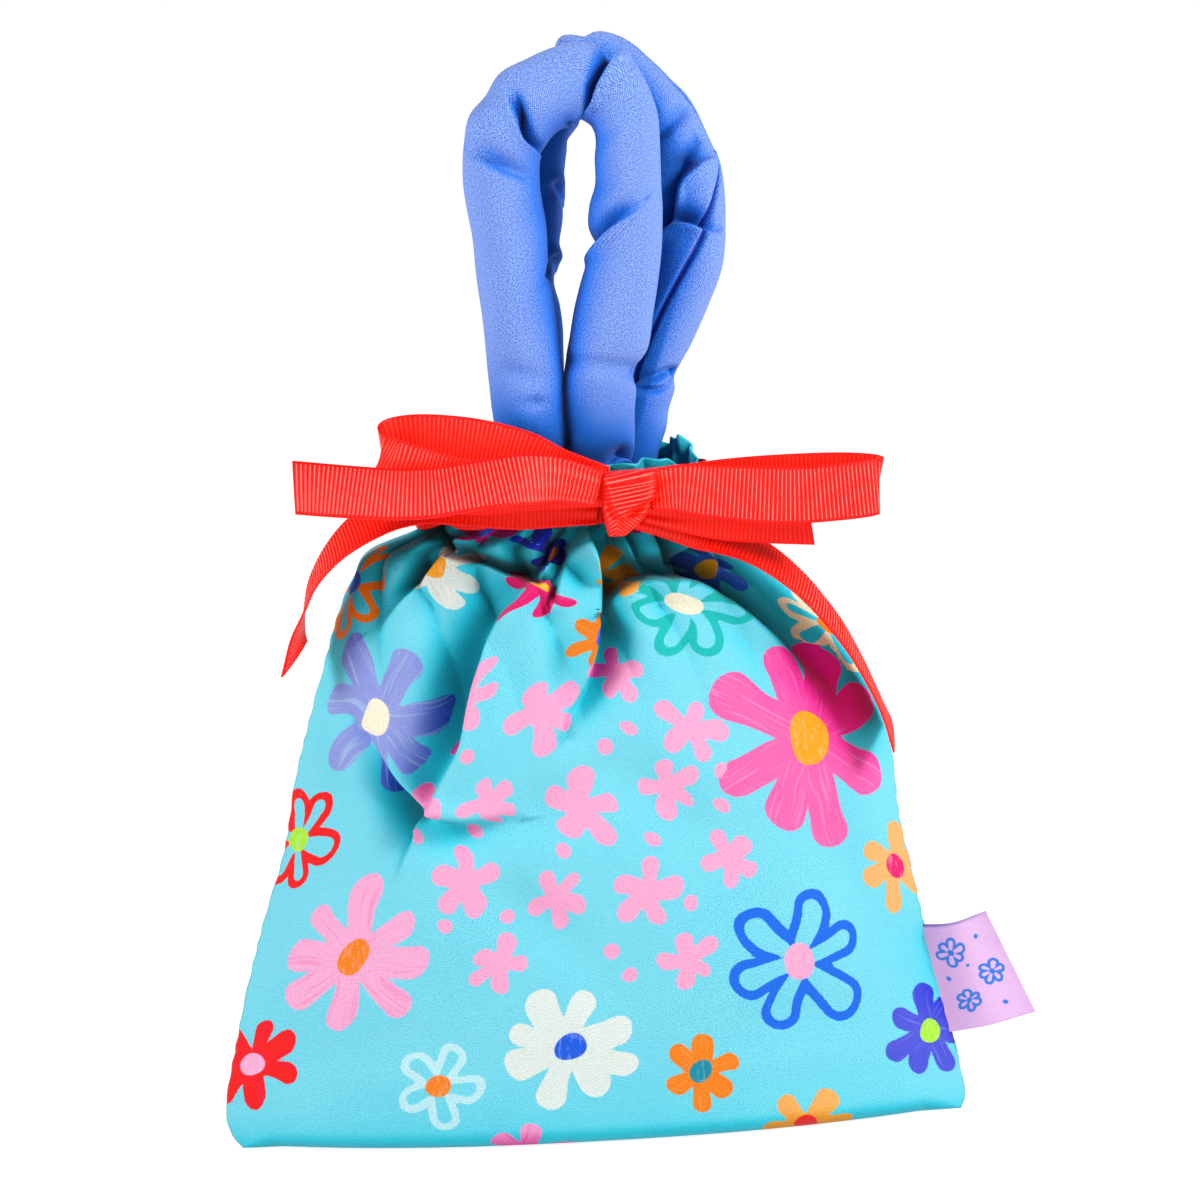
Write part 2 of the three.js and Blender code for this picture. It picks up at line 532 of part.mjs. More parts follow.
add("front_panel", panelGeometry(FRONT), CLOTH_PRINT);
add("back_panel", panelGeometry(BACK), CLOTH_PRINT);
add("handle_front", handleGeometry(FRONT_HANDLE), HANDLE_CLOTH);
add("handle_back", handleGeometry(BACK_HANDLE), HANDLE_CLOTH);
add("neck_ribbon", neckRibbonGeometry(), GROSGRAIN);
add("neck_tail_left", ribbonGeometry(NECK_TAIL_LEFT, 22), GROSGRAIN);
add("neck_tail_right", ribbonGeometry(NECK_TAIL_RIGHT, 18), GROSGRAIN);
add("bow_loop_left", ribbonGeometry(BOW_LOOP_LEFT, 36), GROSGRAIN);
add("bow_loop_right", ribbonGeometry(BOW_LOOP_RIGHT, 36), GROSGRAIN);
add("bow_tail_left", ribbonGeometry(BOW_TAIL_LEFT, 16), GROSGRAIN);
add("bow_tail_right", ribbonGeometry(BOW_TAIL_RIGHT, 10), GROSGRAIN);
add("bow_knot", knotGeometry(), GROSGRAIN);
add("side_label", labelGeometry(), SATIN);

export default pouch;
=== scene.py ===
# %% [markdown]
# # A drawstring pouch of printed cloth
# The pouch is two square panels of thin printed polyester, filled until the belly is round, with
# the neck gathered under a coral grosgrain ribbon. Two stuffed handles rise out of the mouth.
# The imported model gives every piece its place. This script makes the visible cloth around it.

import bpy
import numpy as np
from mathutils import Matrix, Vector


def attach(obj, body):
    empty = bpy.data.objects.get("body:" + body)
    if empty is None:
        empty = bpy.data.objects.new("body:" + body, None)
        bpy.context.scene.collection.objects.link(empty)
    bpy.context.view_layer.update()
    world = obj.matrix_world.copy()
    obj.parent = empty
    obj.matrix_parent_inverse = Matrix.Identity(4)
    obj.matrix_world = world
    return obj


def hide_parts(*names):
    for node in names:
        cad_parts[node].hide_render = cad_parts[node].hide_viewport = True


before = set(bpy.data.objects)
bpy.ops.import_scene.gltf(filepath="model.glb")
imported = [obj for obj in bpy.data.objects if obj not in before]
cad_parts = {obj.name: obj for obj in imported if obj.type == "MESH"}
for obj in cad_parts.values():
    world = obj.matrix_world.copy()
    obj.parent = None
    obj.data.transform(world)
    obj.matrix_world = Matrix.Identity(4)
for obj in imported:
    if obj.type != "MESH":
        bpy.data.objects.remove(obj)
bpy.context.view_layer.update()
MM = 0.001
print("nodes", sorted(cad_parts))


def put(name, data):
    """A new object in the scene."""
    item = bpy.data.objects.new(name, data)
    bpy.context.scene.collection.objects.link(item)
    return item


# %% [markdown]
# ## The camera
# The picture was taken from a little above the middle, with the camera rolled a few degrees. Three
# rotation angles could say that, but their order is easy to get wrong, so the camera's axes are
# written out as a matrix. A long lens keeps the upright lines parallel.

# %% Camera
ELEVATION = np.radians(6.0)
ROLL = np.radians(3.2)
DISTANCE = 1500.0
VIEW_WIDTH = 346.7
AIM = np.array([8.0, 0.0, 155.0])

forward = np.array([0, np.cos(ELEVATION), -np.sin(ELEVATION)])
level_up = np.array([0, np.sin(ELEVATION), np.cos(ELEVATION)])
level_right = np.array([1.0, 0, 0])
camera_right = np.cos(ROLL) * level_right - np.sin(ROLL) * level_up
camera_up = np.sin(ROLL) * level_right + np.cos(ROLL) * level_up

lens = bpy.data.cameras.new("camera")
lens.sensor_width = 36
lens.lens = lens.sensor_width * DISTANCE / VIEW_WIDTH
camera = put("camera", lens)
axes = Matrix(np.stack([camera_right, camera_up, -forward], axis=1).tolist()).to_4x4()
camera.matrix_world = Matrix.Translation((AIM - DISTANCE * forward) * MM) @ axes
bpy.context.scene.camera = camera
bpy.context.scene.view_settings.view_transform = "Standard"
print("camera at", [round(v, 4) for v in camera.location])

# %% [markdown]
# ## Colours and nodes
# Paint and dye colours are easiest to read as sRGB hex, but a shader adds light in linear values.
# One function turns the first into the second, and one function adds a node with its links.
# White light from the surface comes on top of a dye, so `dye` takes it off the lit colour first.


# %% Colour and node helpers
def srgb(code, alpha=1.0):
    """The linear colour of an sRGB hex code."""
    parts = [int(code[i : i + 2], 16) / 255 for i in (1, 3, 5)]
    linear = [p / 12.92 if p <= 0.04045 else ((p + 0.055) / 1.055) ** 2.4 for p in parts]
    return (*linear, alpha)


LIGHT = 1.35
SHEEN_LIGHT = 0.03


def dye(code, veil=SHEEN_LIGHT):
    """The colour of the dye alone: the lit colour less the white light that the surface adds."""
    return (*(max((part - veil) / LIGHT, 0.002) for part in srgb(code)[:3]), 1.0)


def plug(tree, node, inputs):
    """Sets the inputs of a node, each to a value or to another node's output."""
    for key, value in inputs.items():
        if isinstance(value, bpy.types.NodeSocket):
            tree.links.new(value, node.inputs[key])
        else:
            node.inputs[key].default_value = value


def add(tree, kind, inputs=None, out=0, **settings):
    """Adds a shader node with its settings and inputs, and returns one of its outputs."""
    node = tree.nodes.new("ShaderNode" + kind)
    for name, value in settings.items():
        setattr(node, name, value)
    plug(tree, node, inputs or {})
    return node.outputs[out]


def new_material(name):
    """An empty material with a Principled shader, and its node tree."""
    material = bpy.data.materials.new(name)
    material.use_nodes = True
    tree = material.node_tree
    tree.nodes.clear()
    shader = tree.nodes.new("ShaderNodeBsdfPrincipled")
    output = tree.nodes.new("ShaderNodeOutputMaterial")
    tree.links.new(shader.outputs[0], output.inputs[0])
    return material, tree, shader


# %% [markdown]
# ## Cloth as grids of points
# Cloth could be sculpted or simulated. Sculpting can't be written down, and a simulation finds its
# own folds, while this pouch has particular ones. So every piece here is a grid of points in
# millimetres, worked out with numpy. A grid can follow a table of sections, carry folds, and keep
# measures of the flat cloth on its points, so that a print or a rib stays fixed to the cloth
# however the cloth bends.


# %% Curves through tables
def through(rows, keys, at):
    """Every column of a table, on smooth curves through its rows, at the given places."""
    rows, keys, at = np.asarray(rows, float), np.asarray(keys, float), np.asarray(at, float)
    i = np.clip(np.searchsorted(keys, at, side="right") - 1, 0, len(keys) - 2)
    low, high = np.maximum(i - 1, 0), np.minimum(i + 2, len(keys) - 1)
    a, b = rows[i], rows[i + 1]
    span = (keys[i + 1] - keys[i])[..., None]
    slope_a = (b - rows[low]) / (keys[i + 1] - keys[low])[..., None] * span
    slope_b = (rows[high] - a) / (keys[high] - keys[i])[..., None] * span
    t = np.clip((at - keys[i])[..., None] / span, 0, 1)
    bow = slope_a * t * (1 - t) ** 2 - slope_b * t * t * (1 - t)
    return a + (b - a) * t * t * (3 - 2 * t) + bow


def smoothstep(value, low, high):
    t = np.clip((value - low) / (high - low), 0, 1)
    return t * t * (3 - 2 * t)


def lengths_along(points, axis):
    """The distance walked along a grid of points, from its first row or column."""
    steps = np.linalg.norm(np.diff(points, axis=axis), axis=-1)
    walked = np.cumsum(steps, axis=axis)
    return np.concatenate([np.zeros_like(walked.take([0], axis)), walked], axis)


def resampled(rows, walked, at):
    """The rows of a line at other distances along it."""
    return np.stack([np.interp(at, walked, column) for column in rows.T], -1)


def smoothed(rows, size, axis=-1):
    """A grid, smoothed along one of its axes."""
    kernel = np.hanning(size) / np.hanning(size).sum()

    def spread(line):
        return np.convolve(np.pad(line, size // 2, "edge"), kernel, "valid")

    return np.apply_along_axis(spread, axis, rows)


# %% Mesh helpers
def grid_faces(rows, columns, ring=False):
    """The quads of a grid; a ring also joins its last column to its first."""
    r = np.arange(rows - 1)[:, None]
    c = np.arange(columns if ring else columns - 1)[None, :]
    following = (c + 1) % columns
    corners = [r * columns + c, r * columns + following]
    corners += [(r + 1) * columns + following, (r + 1) * columns + c]
    return np.stack(np.broadcast_arrays(*corners), -1).reshape(-1, 4).tolist()


def tube_faces(rows, sides):
    """The quads of a tube, closed at both ends by one face each."""
    faces = grid_faces(rows, sides, ring=True)
    faces.append(list(reversed(range(sides))))
    faces.append([(rows - 1) * sides + i for i in range(sides)])
    return faces


def joined(parts):
    """Several sets of points and faces as one."""
    points, faces = [], []
    for more_points, more_faces in parts:
        faces.extend([len(points) + i for i in face] for face in more_faces)
        points.extend(more_points)
    return points, faces


def surface_normals(points):
    """The direction out of a grid of points, by its two neighbours."""
    normal = np.cross(np.gradient(points, axis=1), np.gradient(points, axis=0))
    return normal / np.maximum(np.linalg.norm(normal, axis=-1, keepdims=True), 1e-9)


def hollows(points, out, size, deep):
    """How far each point lies below the smoothed cloth round it, from 0 to 1."""
    smooth = smoothed(smoothed(points, size, 0), size, 1)
    return np.clip(((smooth - points) * out).sum(-1) / deep, 0, 1)


# %% Making and fitting a piece
def make_piece(name, points, faces):
    """A smooth mesh object from points in millimetres."""
    mesh = bpy.data.meshes.new(name)
    mesh.from_pydata((np.reshape(points, (-1, 3)) * MM).tolist(), [], faces)
    mesh.shade_smooth()
    return put(name, mesh)


def measure(piece, name, values, kind="FLOAT", domain="POINT"):
    """Keeps one measure of the cloth on each point or face of a piece."""
    layer = piece.data.attributes.new(name, kind, domain)
    field = {"FLOAT": "value", "FLOAT_VECTOR": "vector", "FLOAT_COLOR": "color"}[kind]
    layer.data.foreach_set(field, np.ascontiguousarray(values, np.float32).ravel())


def fit(piece, material, slot, *nodes):
    """Puts a piece on the body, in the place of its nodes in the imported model."""
    piece.data.materials.append(material)
    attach(piece, "root")
    if nodes:
        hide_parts(*nodes)
    print(piece.name, len(piece.data.polygons), "faces")


# %% [markdown]
# ## The filled body
# Seen from above, a filled pouch is a lens low down, where flat seams hold it, and nearly an oval
# at the neck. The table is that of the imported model: side seams, how far each panel stands out,
# how round the section is, and how high the gathers stand.

# %% Sections of the pouch
SECTIONS = np.array([
    # height, left, right, front, back, round, gather
    (0, -105, 105, 23.5, 23.5, 0, 0),
    (4, -108, 106.5, 24.2, 24.2, 0, 0),
    (12, -109.3, 105.5, 25.5, 25.5, 0, 0),
    (38, -103.5, 101, 29, 29, 0.1, 0),
    (64, -95.5, 95.5, 31.5, 31, 0.15, 0),
    (87, -87.3, 92, 32, 31.5, 0.2, 0),
    (113, -81.4, 90, 31.5, 31, 0.3, 0.1),
    (136, -74.3, 82, 30, 29, 0.45, 0.6),
    (155, -67.6, 65.5, 28, 27, 0.7, 1.6),
    (166, -62.2, 50, 25, 24, 0.9, 2.6),
    (173, -57, 41, 23.5, 22.5, 1, 2.4),
    (179, -42.5, 38, 21, 20, 1, 1.3),
    (187, -38, 37, 20, 19.5, 1, 1.1),
    (199, -40, 39, 21, 21, 1, 1.3),
])
SEAM_Y = 1
SEAM_GAP = 0.15
LENS_POWER = 2.4
FOOT_RADIUS = 6
FOOT_TOP = 12


def wall(u, z, side):
    """A point of the smooth wall: across, depth, the way out in plan, and the gathers there.
    The share u runs from -1 at the left seam to 1 at the right one."""
    u, z = np.broadcast_arrays(np.asarray(u, float), np.asarray(z, float))
    found = np.moveaxis(through(SECTIONS[:, 1:], SECTIONS[:, 0], z), -1, 0)
    left, right, front, back, oval, gather = found
    stands = front if side < 0 else back
    across = (1 - oval) * u + oval * np.sin(u * np.pi / 2)
    lens_bulge = 1 - np.abs(u) ** LENS_POWER
    bulge = (1 - oval) * lens_bulge + oval * np.maximum(np.cos(u * np.pi / 2), 0)
    half = (right - left) / 2
    out = np.stack([stands * across, half * bulge])
    out /= np.maximum(np.linalg.norm(out, axis=0), 1e-9)
    return left + half * (1 + across), stands * bulge, out[0], out[1], gather


def foot(u, share, side):
    """How the cloth runs from the bottom seam, under the foot and round its edge."""
    base = wall(u, np.zeros_like(u), side)[1]
    radius = np.clip(base, 1e-6, FOOT_RADIUS)
    flat = base - radius
    arc = radius * np.pi / 2
    run = share * (flat + arc + FOOT_TOP - radius)
    bend = np.clip((run - flat) / radius, 0, np.pi / 2)
    z = radius * (1 - np.cos(bend)) + np.maximum(run - flat - arc, 0)
    inset = np.where(run < flat, base - run, radius * (1 - np.sin(bend)))
    return z, inset


print("pouch is", round(SECTIONS[:, 2].max() - SECTIONS[:, 1].min(), 1), "mm wide")

# %% [markdown]
# ## Folds
# A fold in gathered cloth is rarely even. One flank drops sharply under the cloth that laps over
# it, and the other rises slowly. Each fold is therefore a line on the panel with a width for each
# flank, a rim, and a lean that carries the rim over the hollow. The steep flank lies to the left
# of the direction in which the line is drawn, and the slow flank to its right.

# %% Fold helpers
FOLD_SCALE = 1.4
LEAN_SCALE = 1.8
RIM_AT, RIM_WIDTH = 2.2, 1.6
FOLD_REACH = 3


def fold(line, drop, steep, slow, rim=0, lean=0):
    """A fold along (x, z) points. The drop is given at its start, middle and end."""
    return dict(line=line, drop=drop, steep=steep, slow=slow, rim=rim, lean=lean)


def nearest_on_line(x, z, line):
    """The signed distance to a curve, how far along it that is, and the curve's right-hand side."""
    points = through(line, range(len(line)), np.linspace(0, len(line) - 1, 6 * len(line)))
    best = np.full(x.shape, np.inf)
    signed, along = np.zeros_like(x), np.zeros_like(x)
    side_x, side_z = np.zeros_like(x), np.zeros_like(x)
    for k, (a, b) in enumerate(zip(points[:-1], points[1:])):
        step = b - a
        size = np.hypot(*step)
        share = np.clip(((x - a[0]) * step[0] + (z - a[1]) * step[1]) / size**2, 0, 1)
        dx, dz = x - a[0] - share * step[0], z - a[1] - share * step[1]
        distance = np.hypot(dx, dz)
        closer = distance < best
        turned = np.where(dx * step[1] - dz * step[0] >= 0, 1, -1)
        best = np.where(closer, distance, best)
        signed = np.where(closer, distance * turned, signed)
        along = np.where(closer, (k + share) / (len(points) - 1), along)
        side_x = np.where(closer, step[1] / size, side_x)
        side_z = np.where(closer, -step[0] / size, side_z)
    return signed, along, side_x, side_z


def fold_cloth(x, z, folds):
    """How far the folds move each point of a panel out of it, across and up."""
    out, across, lift = np.zeros_like(x), np.zeros_like(x), np.zeros_like(x)
    for f in folds:
        line = np.array(f["line"], float)
        reach = FOLD_REACH * max(f["steep"], f["slow"])
        near = (x > line[:, 0].min() - reach) & (x < line[:, 0].max() + reach)
        near &= (z > line[:, 1].min() - reach) & (z < line[:, 1].max() + reach)
        signed, along, side_x, side_z = nearest_on_line(x[near], z[near], line)
        drop = through(np.array(f["drop"], float)[:, None], [0, 0.5, 1], along)[:, 0]
        width = np.where(signed < 0, f["steep"], f["slow"])
        hollow = np.exp(-((signed / width) ** 2))
        rim_at = (signed + RIM_AT * f["steep"]) / (RIM_WIDTH * f["steep"])
        strength = drop / max(np.abs(f["drop"]).max(), 1e-6)
        crest = np.exp(-(rim_at**2)) * strength
        out[near] += FOLD_SCALE * (f["rim"] * crest - drop * hollow)
        across[near] += LEAN_SCALE * f["lean"] * crest * side_x
        lift[near] += LEAN_SCALE * f["lean"] * crest * side_z
    return out, across, lift


def unevenness(x, z, sizes, height):
    """Slow waves of several sizes, so that no face of the cloth is quite even."""
    total = np.zeros_like(x)
    for i, size in enumerate(sizes):
        for heading in (0.4 + i, 1.9 + 1.3 * i, 3.1 + 0.7 * i):
            wave = (x * np.cos(heading) + z * np.sin(heading)) * 2 * np.pi / size
            total += np.sin(wave + 2.1 * heading + 1.4 * np.sin(wave * 0.37)) / (1 + i)
    return height * total / 3


# %% [markdown]
# The front folds: a knife pleat hangs from the knot, the belly is pinched in under the ribbon, and
# two long folds run down to the left, the lower one curling under the upper.

# %% Folds of the front panel
FRONT_FOLDS = [
    # line, drop, steep, slow, rim, lean
    # The knife pleat below the knot, lapping to the right
    fold([(-3, 124), (2.4, 133.5), (5.5, 143.1), (7.2, 153.9), (8, 162.1), (6, 178)],
         (1.2, 7, 6.5), 1.2, 7.5, 2.6, 1.8),
    fold([(-7, 125), (-4, 140), (-1.5, 155)], (0, 1.4, 0.6), 4, 4),
    # The belly pinched under the ribbon, to the right and to the left of the pleat
    fold([(69, 133), (60.6, 142.6), (52.4, 149.8), (44.4, 156), (35.6, 161.2), (27.2, 162.4),
          (17.8, 162), (9.4, 157)], (0.5, 10, 6), 1.6, 5.4, 2.0, 1.6),
    fold([(-9, 162), (-13.8, 163.9), (-18.8, 165.3), (-24.9, 168.3), (-31.1, 170),
          (-36, 173.8), (-40, 181.9)], (5, 5.8, 4), 1.4, 3.6, 1.8, 1.7),
    # The trough between the two left lobes
    fold([(-34, 173.4), (-39, 169.6), (-44.8, 163.7), (-50, 159.4), (-58, 151.5)],
         (4, 4.8, 0.4), 1.5, 3.8, 1.2, 1.3),
    # The long left fold, whose right side laps over the hollow
    fold([(-10.5, 164), (-15.5, 160.5), (-21.1, 155.5), (-25.3, 148.3), (-27.1, 142.7),
          (-29.9, 135.1), (-32, 128.3), (-34.9, 118.4), (-39.3, 111.5), (-44, 104.3), (-46.5, 99)],
         (4.6, 10, 4.4), 2.1, 12, 2.4, 2.0),
    # The curl below it
    fold([(-61, 120), (-58.4, 114.3), (-55.2, 108.4), (-51.4, 103.6), (-46.2, 98.4), (-40.2, 96),
          (-32.6, 94.8), (-20, 96)], (1.6, 6.4, 0.6), 1.8, 7.5, 1.8, 1.4),
    fold([(-34, 95), (-20, 94), (-6, 100), (4, 109)], (0.6, 1.7, 0.6), 8, 9),
    # Gathers between the ribbon and the pinch
    fold([(-2.2, 180), (-0.8, 177.7), (-5.1, 172.3), (-7.4, 165.5)],
         (3.2, 4.4, 3), 1.1, 2.1, 0.9, 0.7),
    fold([(2.9, 180), (2, 176), (-2.3, 167), (-5, 158.6)], (3, 4.6, 3.2), 1.1, 2.2, 0.9, 0.8),
    fold([(-42.5, 182), (-40.1, 179.9), (-37.8, 176.7), (-35.6, 171.8)],
         (2.4, 3.4, 2.2), 1.2, 2.4, 0.7, 0.7),
    fold([(-27, 181), (-26, 176), (-22, 171)], (2.4, 1.8, 0.4), 1.6, 2.6, 0.4),
    fold([(-14, 181), (-15.5, 176), (-14, 170)], (2.6, 2, 0.5), 1.5, 2.4, 0.4),
    fold([(24, 164.5), (20, 168.6), (16.1, 176.8), (15, 180)], (2.4, 4.2, 3.2), 1.2, 2.4, 0.8, 0.7),
    fold([(30.6, 165.6), (27.4, 170.2), (24.4, 176.9), (23.5, 180)],
         (2.8, 4.6, 3.2), 1.2, 2.6, 1, 0.8),
    fold([(33.6, 166), (33.6, 169), (37.5, 173), (39.5, 177)], (2.8, 3.8, 2.4), 1.2, 2.4, 0.8, 0.7),
    fold([(45.5, 161.5), (45, 166), (41.5, 172.5)], (1, 3, 2), 1.4, 2.8, 0.6, 0.5),
    # Soft hollows of the belly
    fold([(80, 122), (70, 134), (58, 150)], (0.3, 2.2, 1), 5, 6),
    fold([(-36, 82), (-21, 73), (-9, 62), (2, 50)], (0.5, 1.9, 0.5), 9, 10),
    fold([(10, 120), (14, 108), (30, 92), (40, 70)], (0.4, 1.5, 0.4), 9, 11),
    fold([(-76, 132), (-72, 110), (-70, 88)], (0.4, 1.5, 0.4), 6, 7),
    fold([(60, 100), (72, 80), (78, 58)], (0.3, 1.6, 0.3), 9, 9),
    fold([(-92, 20), (-60, 30), (-30, 26)], (0.3, 1.3, 0.3), 9, 9),
    fold([(30, 22), (60, 30), (88, 22)], (0.3, 1.2, 0.3), 9, 9),
]
print(len(FRONT_FOLDS), "front folds")

# %% [markdown]
# The back folds: nothing laces the back, so its folds fan out from the neck more evenly, with the
# same pinch under the ribbon.

# %% Folds of the back panel
BACK_FOLDS = [
    # line, drop, steep, slow, rim, lean
    fold([(-3, 112), (-7, 130), (-8, 148), (-5, 160), (-3, 178)],
         (0.4, 5.4, 4.4), 1.8, 7, 1.8, 1.3),
    fold([(-60, 96), (-46, 122), (-36, 144), (-27, 160), (-21, 178)], (0.4, 5, 4), 8, 1.8, 1, 0.4),
    fold([(66, 100), (50, 124), (37, 144), (27, 160), (20, 178)], (0.4, 5.4, 4), 2, 7, 1.8, 1.2),
    fold([(-24, 122), (-20, 140), (-16, 158), (-13, 178)], (0.3, 3, 3.4), 1.8, 5, 1, 0.8),
    fold([(18, 128), (14, 144), (11, 160), (9, 178)], (0.3, 3.4, 3.6), 1.6, 5, 1, 0.8),
    fold([(-70, 130), (-56, 146), (-46, 160), (-36, 178)], (0.3, 3.4, 2.6), 1.8, 5, 1, 0.7),
    fold([(66, 134), (54, 147), (43, 160), (32, 178)], (0.3, 3.4, 2.6), 1.8, 5, 1, 0.7),
    fold([(50, 160), (34, 165), (20, 165), (4, 163)], (0.6, 3.6, 1.4), 2, 4.5, 1.2, 1.1),
    fold([(-8, 163), (-22, 166), (-38, 165), (-54, 160)], (1.4, 3.6, 0.6), 2, 4.5, 1.2, 1.1),
    fold([(-50, 84), (-20, 70), (10, 70), (46, 86)], (0.4, 2, 0.4), 10, 11),
    fold([(-80, 40), (-40, 32), (0, 40)], (0.3, 1.5, 0.3), 9, 9),
    fold([(24, 40), (56, 30), (88, 40)], (0.3, 1.4, 0.3), 9, 9),
]
print(len(BACK_FOLDS), "back folds")

# %% [markdown]
# ## A panel
# A panel starts at the bottom seam, runs under the foot and up the wall, and turns over at the hem.
# Its side edges turn in along the seam, where the stitches pull small puckers into the cloth. A
# Solidify modifier could give it thickness, but cloth shows it only at a turned edge, so the hem
# and the seam allowances are real rows and columns of the grid.

# %% Panel builder
PANEL_WIDTH = 216
FOOT_ROWS = 34
HEM_TURN = 0.6
HEM_DEPTH = 9
HEM_FALL = 9
TURN_ROWS, TUCKED_ROWS = 6, 9
SEAM_TURN_IN = (1.0, 2.4)
PUCKER_PITCH, PUCKER_WIDTH, PUCKER_HEIGHT = 7.3, 0.045, 0.16
PUFFS = 4.5
FRILL_DEPTH, FRILL_OUT, FRILL_UP = 5.5, 1.7, 1.2
SWAYS, SWAY_HEIGHT = (74, 41), 0.7
ROW_CROWDING = 1.25


def panel_grid(side, folds, hem, hem_level, columns, wall_rows):
    """The points of one panel. The hem is level up to a share of the half width, then falls."""
    u = np.linspace(-1, 1, columns + 1)[None, :]
    z_foot, inset = foot(u, np.linspace(0, 1, FOOT_ROWS)[:, None], side)
    rise = 1 - (1 - np.linspace(0, 1, wall_rows)[1:]) ** ROW_CROWDING
    hem = hem - HEM_FALL * smoothstep(np.abs(u), hem_level, 1)
    z_wall = FOOT_TOP + rise[:, None] * (hem - FOOT_TOP)
    z = np.concatenate([z_foot, z_wall])
    inset = np.concatenate([inset, 0 * z_wall])

    x, depth, out_x, out_y, gather = wall(u, z, side)
    inside = 1 - smoothstep(np.abs(u), 0.8, 1)
    above = smoothstep(z, FOOT_TOP, 4 * FOOT_TOP)
    free = inside * above
    out, across, lift = fold_cloth(x, z, folds)
    puffs = np.abs(np.sin(np.pi * PUFFS * (u + 1) + 1.2 * np.sin(3.3 * u) + 0.02 * (z - 170)))
    out = (out + gather * (2 * puffs**0.8 - 1.1)) * free
    out += unevenness(x, z, SWAYS, SWAY_HEIGHT) * above
    # The seam's stitches pull small puckers, and the hem's drawn edge is crumpled
    near_seam = np.exp(-(((1 - np.abs(u)) / PUCKER_WIDTH) ** 2))
    pucker = np.sin(z * 2 * np.pi / PUCKER_PITCH + 1.7 * np.sin(z * 0.21)) * near_seam
    crumple = np.sin(np.pi * 7 * u + 1.8 * np.sin(4 * u) + side)
    crumple = crumple + 0.55 * np.sin(np.pi * 17 * u + 2.4 * np.sin(7 * u) - side)
    frill = smoothstep(z, hem - FRILL_DEPTH, hem) * crumple
    out += PUCKER_HEIGHT * pucker * smoothstep(z, 4, 14) + FRILL_OUT * frill * inside
    lift = lift * free + FRILL_UP * frill * np.cos(5 * u) * smoothstep(z, hem - 7, hem)
    points = np.stack([
        x + out_x * out + across * free,
        SEAM_Y + side * (SEAM_GAP + depth - inset + out_y * out),
        z + lift,
    ], -1)

    # The hem turns over to the inside and follows the cloth down behind it
    closing = 0.15 + 0.85 * inside[0]
    inward = np.stack([-out_x * closing, -side * out_y * closing, 0 * out_x], -1)
    turned = []
    for angle in np.linspace(0, np.pi, TURN_ROWS + 1)[1:]:
        shift = HEM_TURN * (1 - np.cos(angle)) * inward[-1]
        turned.append(points[-1] + shift + [0, 0, HEM_TURN * np.sin(angle)])
    below_hem = z[-1, columns // 2] - z[:, columns // 2]
    for down in np.linspace(0, HEM_DEPTH, TUCKED_ROWS + 1)[1:]:
        row = np.abs(below_hem - down).argmin()
        turned.append(points[row] + 2 * HEM_TURN * inward[row])
    points = np.concatenate([points, np.array(turned)])

    # The seam allowances turn in along the side seams
    right_in = [points[:, -1] - [deep, 0, 0] for deep in SEAM_TURN_IN]
    left_in = [points[:, 0] + [deep, 0, 0] for deep in reversed(SEAM_TURN_IN)]
    points = np.concatenate([np.stack(left_in, 1), points, np.stack(right_in, 1)], 1)
    points[..., 2] = np.maximum(points[..., 2], 0)
    return points


# %% Place on the flat cloth
def cloth_place(points, hollow):
    """Where each point lies on the flat panel: across from its middle, and up from the foot.
    Cloth that is missing from a row of the grid is tucked away inside the folds."""
    steps = np.linalg.norm(np.diff(points, axis=1), axis=-1)
    folded = steps * (hollow[:, 1:] + hollow[:, :-1]) / 2
    spare = np.clip(PANEL_WIDTH - steps.sum(1), 0, None)
    tucked = smoothed(np.clip(spare / np.maximum(folded.sum(1), 1), 0, 12), 31)
    walked = np.cumsum(steps + tucked[:, None] * folded, 1)
    walked = np.concatenate([0 * walked[:, :1], walked], 1)
    across = (walked / walked[:, -1:] - 0.5) * PANEL_WIDTH
    rise = lengths_along(points, 0)
    return smoothed(across, 11, 0), smoothed(rise - rise[FOOT_ROWS - 1], 71, 1)


# %% Panel grids
panels = {
    "front": panel_grid(-1, FRONT_FOLDS, 195, 0.55, 300, 222),
    "back": panel_grid(1, BACK_FOLDS, 199, 0.72, 210, 170),
}
for name, points in panels.items():
    lowest, highest = points.min((0, 1)).round(1), points.max((0, 1)).round(1)
    print(name, "panel has", points.shape[:2], "points, from", lowest, "to", highest)

# %% [markdown]
# ## The print
# The cloth is printed with daisies of several kinds, loosely painted: filled ones with brush lines
# and a coloured heart, and ones drawn as a single outline. It is a plain all-over floral. Each
# flower is a row of a table. An image texture would be simpler, but it needs a file and goes soft
# close up. Here the distance of every point to the nearest petal is worked out once, and the
# material only has to ask whether it is inside.

